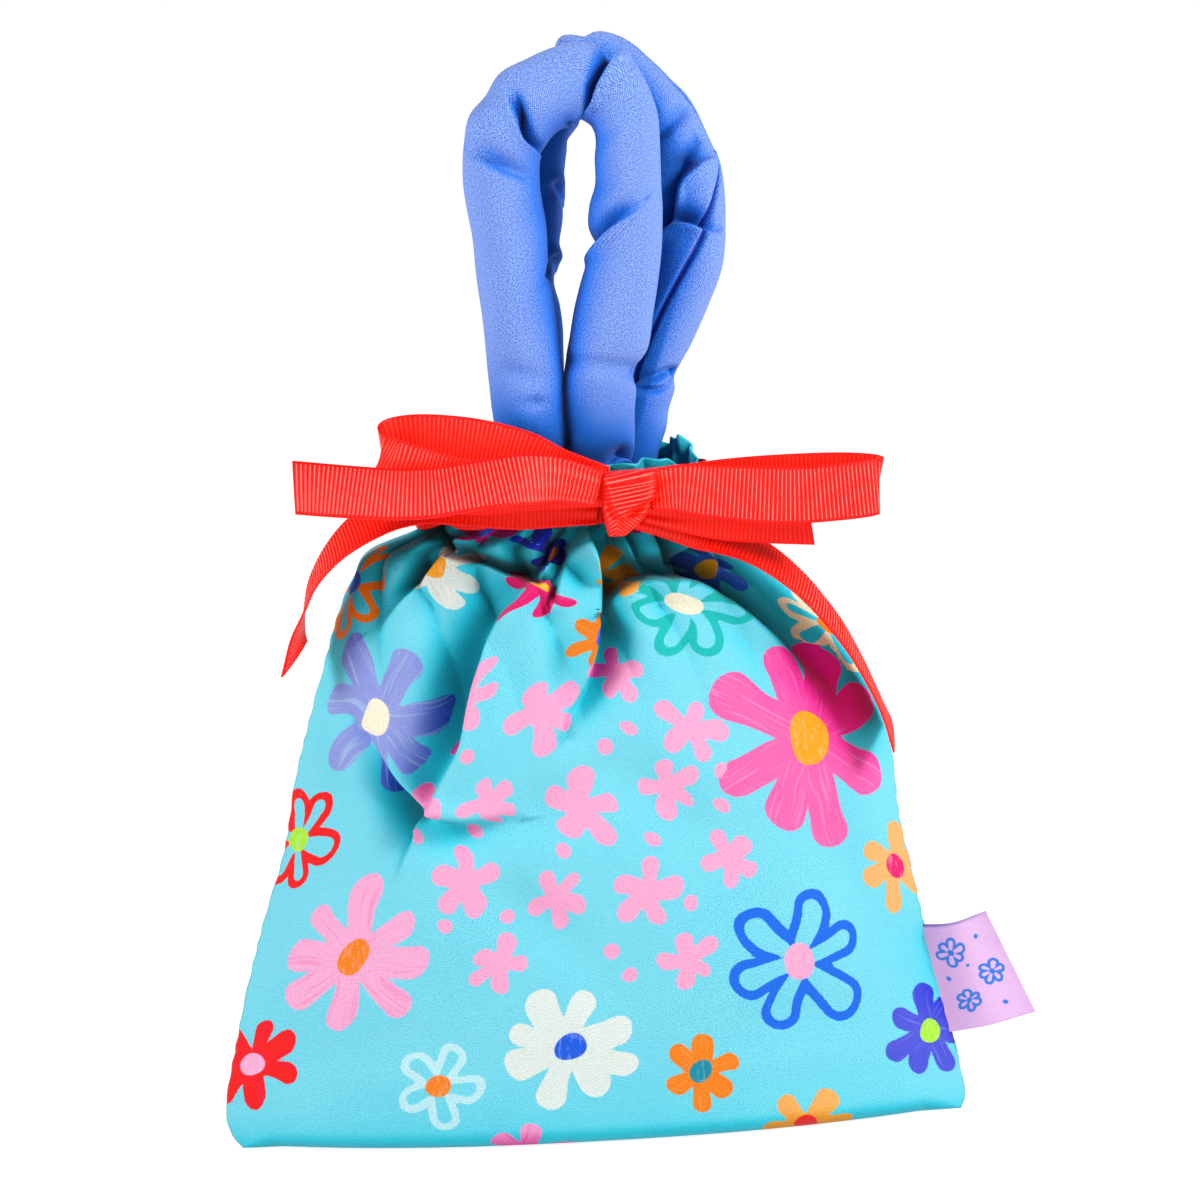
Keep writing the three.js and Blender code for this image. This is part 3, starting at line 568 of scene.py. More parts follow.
# %% Flowers of the front
INKS = {
    "hot pink": "#FB70B4", "pale pink": "#FFB4DC", "lavender": "#98A4E6", "peach": "#FBB877",
    "cream": "#E9F2EC", "red": "#FF1530", "magenta": "#F01A78", "royal blue": "#1B74EE",
    "deep blue": "#2468EA", "teal": "#00C2BE", "deep teal": "#0095AC", "orange": "#FF8A2E",
    "pale blue": "#C6F0F8", "lime": "#B0EF4A", "yellow": "#FFCB62", "gold": "#FFAA00",
    "violet": "#5E63DC", "blossom": "#FFAFD6", "milk": "#FBF3DA",
}
FLOWER = (
    "across", "up", "reach", "petals", "plump", "turn", "line", "ink", "brush", "heart", "heart_ink"
)
FRONT_FLOWERS = [
    (-76, 122, 27, 7, 0.31, 12, 0, "lavender", "pale blue", 5.4, "milk"),
    (74, 102, 33, 8, 0.31, 30, 0, "hot pink", "pale pink", 7.2, "gold"),
    (-70, 46, 25, 8, 0.29, 4, 0, "pale pink", "hot pink", 5, "orange"),
    (61, 38, 22, 6, 0.34, 18, 2.8, "royal blue", "royal blue", 5, "blossom"),
    (-6, 18, 20, 8, 0.32, 20, 0, "cream", "pale blue", 4.4, "deep blue"),
    (46, 146, 18, 7, 0.34, 8, 2.5, "teal", "teal", 4, "milk"),
    (-100, 82, 16, 6, 0.36, 40, 2.5, "red", "red", 3.8, "lime"),
    (99, 62, 14, 6, 0.36, 14, 0, "peach", "yellow", 3.4, "magenta"),
    (30, 8, 12, 6, 0.38, 10, 0, "orange", "peach", 3.2, "deep teal"),
    (98, 12, 15, 7, 0.35, 0, 0, "violet", "lavender", 3.4, "lime"),
    (-42, 8, 13, 5, 0.38, 26, 2.2, "pale blue", "pale blue", 3.4, "orange"),
    (-99, 14, 16, 7, 0.34, 8, 0, "red", "magenta", 3.6, "pale pink"),
    (-56, 176, 17, 6, 0.40, 16, 0, "cream", "peach", 3.6, "gold"),
    (-24, 160, 15, 6, 0.38, 40, 0, "magenta", "hot pink", 3.4, "yellow"),
    (2, 142, 12, 5, 0.40, 10, 0, "orange", "peach", 3, "violet"),
    (-10, 186, 13, 6, 0.36, 0, 0, "violet", "lavender", 3, "orange"),
    (26, 168, 17, 6, 0.38, 30, 0, "peach", "yellow", 3.4, "teal"),
    (74, 164, 16, 6, 0.36, 22, 0, "royal blue", "lavender", 4, "yellow"),
    (-100, 158, 17, 7, 0.34, 20, 2.4, "orange", "orange", 4, "deep blue"),
    (100, 136, 15, 6, 0.36, 10, 2.4, "milk", "milk", 3.4, "orange"),
    (58, 194, 13, 6, 0.36, 6, 0, "magenta", "hot pink", 3.6, "pale pink"),
    (-66, 204, 15, 6, 0.34, 40, 2.4, "teal", "teal", 3.4, "milk"),
    (-30, 204, 14, 6, 0.34, 12, 0, "hot pink", "pale pink", 3.4, "deep blue"),
    (90, 196, 14, 6, 0.34, 0, 0, "lavender", "pale blue", 3.4, "deep teal"),
    (16, 212, 12, 6, 0.34, 24, 0, "cream", "yellow", 3.2, "red"),
    (-20, -18, 15, 6, 0.34, 14, 0, "pale pink", "hot pink", 3.6, "deep blue"),
    (58, -12, 14, 6, 0.34, 32, 0, "peach", "yellow", 3.6, "red"),
]
# Small blossoms and dots of one ink fill the middle of the front
PLAIN = dict(plump=0.42, line=0, ink="blossom", brush="blossom", heart=0, heart_ink="blossom")
DOT = dict(PLAIN, reach=2.3, petals=0, turn=0)
FRONT_BLOSSOMS = [
    # across, up, reach, petals, turn
    (-30, 126, 10.5, 5, 10), (-6, 116, 12.5, 5, 40), (20, 126, 9.5, 5, 0), (38, 108, 11, 5, 25),
    (-46, 98, 11.5, 5, 30), (-22, 93, 9, 5, 50), (4, 88, 12.5, 5, 15), (30, 92, 10, 5, 60),
    (-38, 68, 12, 5, 0), (-10, 62, 10, 5, 35), (17, 62, 11.5, 5, 10), (42, 70, 9.5, 5, 45),
    (-26, 43, 9.5, 5, 20), (28.5, 42, 9.5, 5, 55),
]
FRONT_DOTS = [
    (-28, 109), (12, 105), (20, 110), (-32, 83), (20, 77), (-52, 82), (-8, 76), (-24, 57),
    (6, 46), (30, 58), (-46, 116), (6, 130), (46, 96), (44, 86), (-43, 55), (12, 38),
]

# %% Flowers of the back
BACK_FLOWERS = [
    (58, 118, 32, 8, 0.30, 30, 0, "hot pink", "pale pink", 7.4, "deep blue"),
    (-70, 108, 26, 8, 0.27, 10, 0, "pale pink", "hot pink", 5.2, "deep blue"),
    (-4, 102, 24, 7, 0.30, 24, 2.7, "royal blue", "royal blue", 5, "orange"),
    (76, 40, 25, 7, 0.28, 24, 0, "lavender", "pale blue", 4.6, "deep teal"),
    (-38, 54, 22, 8, 0.30, 2, 0, "cream", "pale blue", 4.2, "gold"),
    (22, 46, 20, 6, 0.36, 20, 2.8, "red", "red", 4, "royal blue"),
    (-84, 42, 18, 7, 0.36, 12, 2.4, "teal", "teal", 3.8, "milk"),
    (96, 86, 15, 6, 0.34, 14, 0, "yellow", "peach", 3.6, "hot pink"),
    (-8, 14, 14, 6, 0.36, 10, 0, "red", "magenta", 3.2, "lavender"),
    (44, 10, 14, 6, 0.36, 0, 2.3, "orange", "orange", 3.4, "pale pink"),
    (-54, 12, 14, 6, 0.34, 30, 0, "peach", "yellow", 3.4, "red"),
    (-98, 8, 14, 6, 0.34, 8, 0, "lavender", "pale blue", 3.4, "deep teal"),
    (98, 8, 14, 7, 0.34, 8, 2.3, "pale blue", "pale blue", 3.4, "lime"),
    (-32, 142, 15, 6, 0.34, 16, 0, "magenta", "hot pink", 3.8, "deep blue"),
    (12, 148, 15, 6, 0.34, 30, 2.5, "teal", "teal", 3.4, "milk"),
    (96, 134, 15, 6, 0.34, 0, 0, "lavender", "pale blue", 3.4, "deep teal"),
    (-96, 142, 16, 7, 0.34, 22, 0, "cream", "peach", 3.6, "gold"),
    (-64, 158, 14, 6, 0.34, 20, 0, "peach", "yellow", 3.4, "red"),
    (44, 170, 15, 6, 0.34, 10, 0, "cream", "peach", 3.4, "gold"),
    (80, 172, 14, 6, 0.34, 10, 2.4, "red", "red", 3.4, "royal blue"),
    (-14, 180, 15, 7, 0.32, 6, 0, "violet", "lavender", 3.6, "pale pink"),
    (-84, 190, 14, 6, 0.34, 40, 0, "hot pink", "pale pink", 3.4, "deep blue"),
    (-44, 192, 13, 6, 0.34, 12, 2.3, "orange", "orange", 3.2, "pale pink"),
    (16, 190, 12, 6, 0.34, 0, 0, "yellow", "peach", 3.4, "hot pink"),
    (62, 188, 11, 6, 0.34, 24, 0, "pale pink", "hot pink", 3.2, "deep blue"),
    (14, -18, 15, 6, 0.34, 14, 0, "hot pink", "pale pink", 3.6, "royal blue"),
]

flowers = {
    "front": [dict(zip(FLOWER, row)) for row in FRONT_FLOWERS],
    "back": [dict(zip(FLOWER, row)) for row in BACK_FLOWERS],
}
BLOSSOM = ("across", "up", "reach", "petals", "turn")
flowers["front"] += [dict(PLAIN, **dict(zip(BLOSSOM, row))) for row in FRONT_BLOSSOMS]
flowers["front"] += [dict(DOT, across=across, up=rise) for across, rise in FRONT_DOTS]
print({name: len(motifs) for name, motifs in flowers.items()}, "motifs")

# %% Distance to a painted petal
FAR = 60.0
BRUSH_MARGIN = 9
EDGE_WANDER = 0.5
PETAL_START, PETAL_TIP, PETAL_FOOT = 0.24, 0.68, 0.74
PETAL_SWING = 7
HOLLOW_SPAN, HOLLOW_DEPTH = 13, 2.4


def petal_distance(a, b, length, near_radius, far_radius):
    """The distance to a petal that lies along b, round at both ends and wider at its tip."""
    a, b = np.abs(a) / length, b / length
    slope = (near_radius - far_radius) / length
    level = np.sqrt(1 - slope**2)
    before = level * b - slope * a
    near_end = length * np.hypot(a, b) - near_radius
    far_end = length * np.hypot(a, b - 1) - far_radius
    flank = length * (level * a + slope * b) - near_radius
    return np.where(before < 0, near_end, np.where(before > level, far_end, flank))


def petals_of(flower, number, x, y):
    """The distance to a flower's nearest petal, and the place on that petal."""
    found, lines = np.full(len(x), FAR), np.zeros((len(x), 3))
    if not flower["petals"]:
        found = np.hypot(x, y) - flower["reach"]
    for i in range(flower["petals"]):
        swing = PETAL_SWING * np.sin(1.7 * i + 3 * number)
        angle = np.radians(flower["turn"] + 360 * i / flower["petals"] + swing)
        reach = flower["reach"] * (0.93 + 0.07 * np.sin(2.3 * i + number))
        tip = reach * flower["plump"] * PETAL_TIP * (1 + 0.1 * np.sin(3.1 * i + number))
        start = PETAL_START * reach
        along = x * np.sin(angle) + y * np.cos(angle) - start
        beside = x * np.cos(angle) - y * np.sin(angle)
        distance = petal_distance(beside, along, reach - tip - start, PETAL_FOOT * tip, tip)
        closer = distance < found
        found = np.where(closer, distance, found)
        on_petal = np.stack([beside, along, 0 * along + 7.3 * i + 31 * number], -1)
        lines[closer] = on_petal[closer]
    return found, lines


# %% Paint on the cloth
def paint(across, rise, motifs):
    """For every point of the cloth, the nearest flower and how far its petals and heart are."""
    petal, heart = np.full(across.shape, FAR), np.full(across.shape, FAR)
    nearest, stroke = np.zeros(across.shape, int), np.zeros((*across.shape, 3))
    # A hand-painted edge wanders a little
    s = across + EDGE_WANDER * np.sin(rise / 2.9 + 1.3 * np.sin(across / 5.1))
    t = rise + EDGE_WANDER * np.sin(across / 3.3 + 1.1 * np.sin(rise / 4.3))
    for number, flower in enumerate(motifs):
        dx, dy = s - flower["across"], t - flower["up"]
        close = np.hypot(dx, dy) < flower["reach"] + BRUSH_MARGIN
        if not close.any():
            continue
        x, y = dx[close], dy[close]
        found, lines = petals_of(flower, number, x, y)
        sooner = found < petal[close]
        petal[close] = np.minimum(petal[close], found)
        nearest[close] = np.where(sooner, number, nearest[close])
        stroke[close] = np.where(sooner[:, None], lines, stroke[close])
        if flower["heart"]:
            oval = np.hypot(x, y) * (1 + 0.09 * np.sin(2 * np.arctan2(y, x) + number))
            heart[close] = np.minimum(heart[close], oval - flower["heart"])
    return petal, heart, nearest, stroke


def drawn_distance(petal, half_line):
    """The distance to the ink: to a filled petal, or to the line of an outlined one."""
    return np.where(half_line > 0, np.abs(petal) - half_line, petal)


# %% The print of a panel
def print_on(piece, points, motifs):
    """Keeps the print on a panel: distances on its points, and inks on its faces."""
    out = np.array([0.0, np.sign(points[..., 1].mean()), 0.3])
    hollow = hollows(points, out, HOLLOW_SPAN, HOLLOW_DEPTH) ** 2
    narrow = hollow * smoothstep(points[..., 2], 140, 166)
    across, rise = cloth_place(points, narrow)
    petal, heart, nearest, stroke = paint(across, rise, motifs)
    measure(piece, "petal", petal)
    measure(piece, "heart", heart)
    measure(piece, "stroke", stroke, "FLOAT_VECTOR")
    measure(piece, "thread", np.stack([across, rise, 0 * rise], -1), "FLOAT_VECTOR")
    of_face = nearest[:-1, :-1].ravel()
    for layer, column in (("petal_ink", "ink"), ("brush_ink", "brush"), ("heart_ink", "heart_ink")):
        inks = np.array([dye(INKS[flower[column]]) for flower in motifs])
        measure(piece, layer, inks[of_face], "FLOAT_COLOR", "FACE")
    half_line = np.array([flower["line"] / 2 for flower in motifs])
    measure(piece, "line", half_line[of_face], "FLOAT", "FACE")
    share = (drawn_distance(petal, half_line[nearest]) < 0).mean()
    print(piece.name, "is printed over", round(100 * share), "% of its area")


# %% [markdown]
# ## Printed polyester
# The cloth is a thin peach-skin polyester: fine even threads, brushed a little, so it is matt with
# a soft light edge where it turns away, and the dye sits in the thread. The threads are about
# 0.25 mm apart, too fine for the picture, so the weave is drawn at 0.8 mm, with slubs that make it
# a little uneven. The painted look of the print comes from thin lighter lines along each petal.

# %% Nodes that the dyed cloths share
THREAD_PITCH = 0.8
SLUB_SCALE = 2.1
# How far the painted hollow shade looks for enclosing faces, and the height over which it fades
# near the table, in metres
PAINTED_SHADE_REACH = 0.032
CLOTH = {"Specular IOR Level": 0.2, "Sheen Weight": 0.12, "Sheen Roughness": 0.5}


def woven(tree, pitch):
    """The place on the flat cloth, and the height of a plain weave with that thread spacing."""
    thread = add(tree, "Attribute", out=1, attribute_name="thread")
    waves = []
    for place in add(tree, "SeparateXYZ", {0: thread}).node.outputs[:2]:
        turns = add(tree, "Math", {0: place, 1: 2 * np.pi / pitch}, operation="MULTIPLY")
        waves.append(add(tree, "Math", {0: turns}, operation="SINE"))
    crossing = add(tree, "Math", dict(enumerate(waves)), operation="MULTIPLY")
    slub = add(tree, "TexNoise", {"Vector": thread, "Scale": SLUB_SCALE, "Detail": 1.0})
    slub = add(tree, "MapRange", {0: slub, 1: 0.3, 2: 0.7, 3: -1.0, 4: 1.0})
    return thread, add(tree, "Math", {0: slub, 1: 1.1, 2: crossing}, operation="MULTIPLY_ADD")


def painted_hollow_shade(tree, colour, purest_painted_shade, darkest_painted_shade):
    """Painted shade in hollows: where ambient occlusion finds the surface enclosed, the colour is
    made purer and darker, as light bounced from dyed face to dyed face would make it.
    """
    reach = {"Distance": PAINTED_SHADE_REACH}
    openness = add(tree, "AmbientOcclusion", reach, "AO", samples=6)
    # The painted shade fades out near the light table, where the cloth is close to a bright face,
    # not to a dyed one
    height = add(tree, "SeparateXYZ", {0: add(tree, "TexCoord", out=3)}, 2)
    painted_shade_fade_near_table = add(tree, "MapRange", {0: height, 1: 0.0, 2: PAINTED_SHADE_REACH, 3: 0.42, 4: 0.0})
    openness = add(tree, "Math", {0: openness, 1: painted_shade_fade_near_table}, operation="ADD")
    painted_purity = add(tree, "MapRange", {0: openness, 1: 0.4, 2: 0.94, 3: purest_painted_shade, 4: 1.0})
    value = add(tree, "MapRange", {0: openness, 1: 0.2, 2: 0.66, 3: darkest_painted_shade, 4: 1.0})
    return add(tree, "HueSaturation", {"Color": colour, "Saturation": painted_purity, "Value": value})


def speckled(tree, colour, weave, amount):
    """The difference in shade from thread to thread."""
    shade = add(tree, "MapRange", {0: weave, 1: -2.0, 2: 2.0, 3: 1 - amount, 4: 1 + amount})
    both = {0: 1.0, 6: colour, 7: shade}
    return add(tree, "Mix", both, 2, data_type="RGBA", blend_type="MULTIPLY")


# %% Printed cloth: ground and petals
printed_polyester, tree, shader = new_material("printed_polyester")
thread, weave = woven(tree, THREAD_PITCH)
slow = add(tree, "TexNoise", {"Vector": thread, "Scale": 0.03, "Detail": 2.0})
ground = add(tree, "Mix", {0: slow, 6: dye("#78DAEE"), 7: dye("#88E3F4")}, 2, data_type="RGBA")

# Inside the petals of a filled flower, or on the line of a drawn one
petal = add(tree, "Attribute", out=2, attribute_name="petal")
line = add(tree, "Attribute", out=2, attribute_name="line")
is_line = add(tree, "Math", {0: line, 1: 0.01}, operation="GREATER_THAN")
size = add(tree, "Math", {0: petal}, operation="ABSOLUTE")
beside_line = add(tree, "Math", {0: size, 1: line}, operation="SUBTRACT")
shape = add(tree, "Mix", {0: is_line, 2: petal, 3: beside_line}, data_type="FLOAT")
edge = add(tree, "TexNoise", {"Vector": thread, "Scale": 1.1, "Detail": 1.0})
rough_edge = add(tree, "MapRange", {0: edge, 1: 0.0, 2: 1.0, 3: -0.22, 4: 0.22})
shape = add(tree, "Math", {0: shape, 1: rough_edge}, operation="ADD")
inked = add(tree, "MapRange", {0: shape, 1: 0.14, 2: -0.14, 3: 0.0, 4: 1.0})

# %% Printed cloth: brush lines and hearts
BRUSH_LINE = 0.9
# Brush lines run along each petal, and the heart is filled with short strokes
stroke = add(tree, "Attribute", out=1, attribute_name="stroke")
stretch = {0: stroke, 1: (1 / BRUSH_LINE, 0.05, 1.0)}
along_petal = add(tree, "VectorMath", stretch, operation="MULTIPLY")
brushed = add(tree, "TexNoise", {"Vector": along_petal, "Scale": 1.0, "Detail": 1.0})
bristle = add(tree, "MapRange", {0: brushed, 1: 0.55, 2: 0.68, 3: 0.0, 4: 0.34})
petal_ink = add(tree, "Attribute", attribute_name="petal_ink")
brush_ink = add(tree, "Attribute", attribute_name="brush_ink")
petal_paint = add(tree, "Mix", {0: bristle, 6: petal_ink, 7: brush_ink}, 2, data_type="RGBA")
heart_ink = add(tree, "Attribute", attribute_name="heart_ink")
swept = add(tree, "VectorMath", {0: thread, 1: (1.0, 0.3, 1.0)}, operation="MULTIPLY")
swirl = add(tree, "TexNoise", {"Vector": swept, "Scale": 1.0, "Detail": 1.0, "Distortion": 0.8})
light_stroke = add(tree, "MapRange", {0: swirl, 1: 0.54, 2: 0.66, 3: 0.0, 4: 0.1})
strokes = {0: light_stroke, 6: heart_ink, 7: (1, 1, 1, 1)}
heart_paint = add(tree, "Mix", strokes, 2, data_type="RGBA")
heart = add(tree, "Attribute", out=2, attribute_name="heart")
hearted = add(tree, "MapRange", {0: heart, 1: 0.16, 2: -0.16, 3: 0.0, 4: 1.0})

# %% Printed cloth: surface
colour = add(tree, "Mix", {0: inked, 6: ground, 7: petal_paint}, 2, data_type="RGBA")
colour = add(tree, "Mix", {0: hearted, 6: colour, 7: heart_paint}, 2, data_type="RGBA")
# Painted shade: the colour turns purer and darker in the hollows, before the speckle from thread to
# thread
colour = speckled(tree, painted_hollow_shade(tree, colour, 1.7, 0.35), weave, 0.24)
raised = add(tree, "Bump", {"Strength": 0.35, "Distance": 0.0002, "Height": weave})
plug(tree, shader, {"Base Color": colour, "Normal": raised, "Roughness": 0.78, **CLOTH})
print("printed cloth:", len(tree.nodes), "nodes")

# %% [markdown]
# ## The two panels
# Each panel is one sheet, cut 216 mm wide and about 236 mm long, printed before it was sewn. The
# print therefore runs on into the seams, under the foot and over the hem.

# %% Panels
for name, points in panels.items():
    panel = make_piece(name + "_panel_cloth", points, grid_faces(*points.shape[:2]))
    print_on(panel, points, flowers[name])
    fit(panel, printed_polyester, "printed_cloth", name + "_panel")

# %% [markdown]
# ## Hem stitches
# The hem is held by a row of dark teal running stitches a few millimetres below its edge. A dashed
# line in the material would lie flat, and a curve with a bevel would be one long thread. Each
# stitch is a short thread that dips into the cloth at both ends, so each is its own small body.

# %% Running stitches
STITCH_SIDES, STITCH_RINGS = 6, 5


def stitch_row(path, outward, pitch, share, thickness):
    """The points and faces of a row of stitches along a path that lies on cloth."""
    walked = lengths_along(path, 0)
    angle = np.linspace(0, 2 * np.pi, STITCH_SIDES, endpoint=False)[:, None]
    swell = np.sin(np.linspace(0.12, np.pi - 0.12, STITCH_RINGS)) ** 0.5
    stitches = []
    for start in np.arange(pitch, walked[-1] - pitch, pitch):
        at = start + np.linspace(0, share * pitch, STITCH_RINGS)
        middle, out = resampled(path, walked, at), resampled(outward, walked, at)
        ahead = np.gradient(middle, axis=0)
        ahead /= np.linalg.norm(ahead, axis=1, keepdims=True)
        beside = np.cross(ahead, out)
        middle = middle + out * (thickness * (1.6 * swell - 1.0))[:, None]
        around = beside[:, None] * np.cos(angle) + out[:, None] * np.sin(angle)
        points = middle[:, None] + around * thickness * swell[:, None, None]
        stitches.append((points.reshape(-1, 3), tube_faces(STITCH_RINGS, STITCH_SIDES)))
    return joined(stitches)


# %% Thread and hem stitches
HEM_STITCH = dict(pitch=2.4, share=0.62, thickness=0.22)
HEM_STITCH_ROW = -1 - TURN_ROWS - TUCKED_ROWS - 7
FROM_SIDE_SEAM = 12
FIBRE_SCALE = 2500.0


def spun_thread(name, dark, light):
    """Spun polyester thread: matt, with a fine twist that shows as light and dark along it."""
    material, tree, shader = new_material(name)
    fibres = add(tree, "TexNoise", {"Scale": FIBRE_SCALE, "Detail": 2.0})
    colour = add(tree, "Mix", {0: fibres, 6: srgb(dark), 7: srgb(light)}, 2, data_type="RGBA")
    plug(tree, shader, {"Base Color": colour, "Roughness": 0.7})
    return material


teal_thread = spun_thread("teal_spun_polyester_thread", "#00586E", "#0A8CA0")
rows = []
for points in panels.values():
    row = points[HEM_STITCH_ROW, FROM_SIDE_SEAM:-FROM_SIDE_SEAM]
    normals = surface_normals(points)[HEM_STITCH_ROW, FROM_SIDE_SEAM:-FROM_SIDE_SEAM]
    normals *= np.sign(normals[:, 1:2] * np.sign(points[..., 1].mean()) + 1e-9)
    rows.append(stitch_row(row, normals, **HEM_STITCH))
fit(make_piece("hem_stitches", *joined(rows)), teal_thread, "printed_cloth")

# %% [markdown]
# ## The stuffed handles
# Each handle is a tube of plain periwinkle cloth packed with wadding. Where it bends, the cloth is
# too long on the inside and breaks into creases with a swelling on either side. A bevelled curve
# would give an even hose, so the tube is a grid that takes the same folds as the panels. A crease
# is a line on the tube, given by the distance from the left foot and the angle round the tube in
# degrees: 0 is the outside of the loop and -90 the side that faces the front. A second table says
# how far the outer and the inner side of the loop stand out or in.

# %% Handle tables
FRONT_HANDLE = [
    # x, y, z, wide, deep
    (-9.6, -7.8, 182, 9.2, 6.6), (-9.6, -7.9, 192, 9.5, 6.8), (-9.7, -10.4, 207, 10.5, 9.3),
    (-10.8, -11.8, 229, 11.5, 10.8), (-11.9, -12.2, 250, 11.7, 11), (-13.2, -12.2, 270, 11, 11),
    (-11.4, -12.2, 286.5, 10.2, 10.6), (-3.6, -12.2, 298, 10.6, 10.6),
    (7.5, -12.2, 303.3, 10.8, 10.6), (17.2, -12.2, 299, 10.4, 10.6),
    (21.6, -12.2, 286, 9.6, 10.8), (21.4, -12.2, 268, 9.8, 11), (20.2, -12, 250, 10.2, 11),
    (15.8, -11.8, 230, 10.5, 10.8), (12.6, -10.2, 209, 10.1, 9.4), (11.2, -7.5, 192, 9.1, 6.5),
    (11.2, -7.6, 182, 9, 6.5),
]
BACK_HANDLE = [
    (-9, 8.2, 182, 9.2, 6.6), (-9, 8.4, 192, 9.6, 6.8), (-9.2, 11.2, 208, 10.4, 9.2),
    (-9, 12.8, 230, 11, 10.8), (-6.9, 12.8, 254, 11, 10.8), (-3.6, 12.8, 273, 10.8, 10.8),
    (2.6, 12.8, 292, 10.6, 10.6), (14.5, 12.8, 305, 10.8, 10.6), (28.5, 12.8, 301, 10.8, 10.6),
    (37, 12.8, 286, 10.8, 10.6), (38.7, 12.8, 267, 11, 10.8), (37, 12.8, 248, 11, 10.8),
    (31.5, 12.8, 231, 11, 10.8), (25.6, 11.4, 215, 10.4, 9.6), (20.8, 7.6, 201, 9.2, 6.6),
    (19.2, 6.8, 191, 8.6, 5.8), (19.2, 6.8, 182, 8.4, 5.6),
]

# %% Creases of the front handle
FRONT_CREASES = [
    # line, drop, steep, slow, rim, lean
    # The fold at the top, where the right leg comes out from under the top of the loop
    fold([(140, 20), (139, -8), (139, -69), (140, -97), (142, -123), (144, -160), (145, -185)],
         (4.2, 4.8, 2.6), 0.6, 2.0, 1.3, 1.2),
    # The bend on the left, with a short dart beside it
    fold([(107, -172), (108.5, -148), (110, -117), (114, -89), (116.5, -66), (118.5, -44)],
         (0.6, 3.8, 0.2), 0.7, 2.5, 0.5, 0.4),
    fold([(112, -112), (115.5, -88), (119, -58)], (0.3, 2.2, 0.3), 0.5, 1.0, 0.4),
    fold([(103, -30), (102, -55), (100.1, -85), (97.6, -130)], (0.6, 2.4, 1.0), 3.0, 1.6, 0.2),
    # The right leg, from the top down
    fold([(146, -20), (149, -79), (153, -125)], (0.2, 0.8, 0.2), 3, 3),
    fold([(173, -62), (176.4, -89), (179.8, -117), (184, -145), (189, -185)],
         (0.4, 3.2, 2.6), 0.8, 4.4, 0.9, 0.9),
    fold([(219, -160), (219.5, -97), (220, -50), (221, 0)], (1.0, 0.9, 1.6), 2.4, 3),
    # The left leg
    fold([(43, -50), (41, -85), (38.6, -125)], (0.3, 0.8, 0.3), 3, 3),
    fold([(33, -95), (32, -120)], (0.3, 0.6, 0.2), 1.6, 2),
    fold([(249.5, -8), (247, -35), (246.4, -60), (248.5, -88)], (1, 3, 1), 1.0, 3, 1.4, 0.8),
    # Wrinkles inside the bend and behind
    fold([(126, -205), (128, -180), (126, -155)], (0.3, 1.4, 0.3), 1.2, 2.4, 0.4),
    fold([(135, -210), (134, -185), (136, -160)], (0.3, 1.2, 0.3), 1.2, 2.4, 0.3),
    fold([(66, -150), (69, -185), (66, -220)], (0.3, 1.3, 0.3), 1.6, 2.4),
    fold([(118, 40), (114, 90), (110, 140)], (0.4, 2, 0.4), 1.2, 3, 0.6),
    fold([(146, 40), (150, 90), (154, 130)], (0.4, 2, 0.4), 1.2, 3, 0.6),
    fold([(98, 30), (96, 70), (92, 120)], (0.3, 1.2, 0.3), 2, 2),
    fold([(200, 60), (204, 100), (202, 150)], (0.3, 1.2, 0.3), 2, 3),
]

# %% Creases of the back handle
BACK_CREASES = [
    fold([(168, -16), (169, -57), (171, -77), (175, -103), (182, -115), (190, -145)],
         (0.3, 4.8, 3.6), 0.8, 5.4, 1.0, 1.0),
    fold([(188.5, -40), (188, -59), (186.6, -87), (187, -117), (192, -150)],
         (0.7, 3.8, 2.6), 0.8, 4.4, 0.9, 0.9),
    fold([(155, -35), (156, -55), (157, -83), (159, -115), (160, -150)], (0.3, 1.6, 1), 2, 3),
    fold([(164, -40), (165, -51), (169, -83), (170, -110)], (0.3, 1.2, 0.3), 1.6, 2.4),
    fold([(235, -130), (234, -117), (232, -93), (229, -60), (229, -20)], (0.8, 1.7, 1.8), 1.4, 1.6),
    fold([(237, -115), (236, -97), (235, -75), (232, -45)], (0.4, 1.3, 0.8), 0.8, 1.4),
    fold([(126, -20), (126, 2), (127, 30)], (0.3, 1.3, 0.3), 0.7, 1.2, 0.3),
    fold([(130.5, -25), (130, 0), (131, 25)], (0.3, 1.8, 0.4), 0.8, 1.4, 0.4),
    # Inside the loop
    fold([(93, -105), (95, -131), (93, -165), (90, -190)], (0.3, 1.6, 0.5), 1.2, 3, 0.5),
    fold([(70, -115), (73, -140), (70, -180)], (0.3, 1.6, 0.5), 1.2, 3, 0.5),
    fold([(108, -150), (112, -185), (110, -215)], (0.4, 2, 0.4), 1.2, 2.4, 0.5),
    fold([(126, -150), (128, -185), (124, -215)], (0.4, 2.4, 0.4), 1.2, 2.4, 0.6),
    fold([(142, -140), (145, -180), (142, -215)], (0.4, 2.4, 0.4), 1.2, 2.4, 0.6),
    # Behind
    fold([(130, 40), (128, 85), (130, 130)], (0.4, 1.8, 0.4), 1.2, 3, 0.5),
    fold([(96, 50), (100, 95), (104, 150)], (0.4, 1.8, 0.4), 3, 1.2, 0.5),
    fold([(160, 50), (164, 95), (166, 150)], (0.4, 1.8, 0.4), 1.2, 3, 0.5),
    fold([(190, 60), (196, 100), (200, 150)], (0.3, 1.4, 0.3), 2, 3),
    fold([(222, 40), (224, 90), (220, 140)], (0.3, 1.4, 0.3), 2, 2),
    fold([(40, 60), (38, 100), (42, 140)], (0.3, 1.1, 0.3), 2.4, 2.4),
]

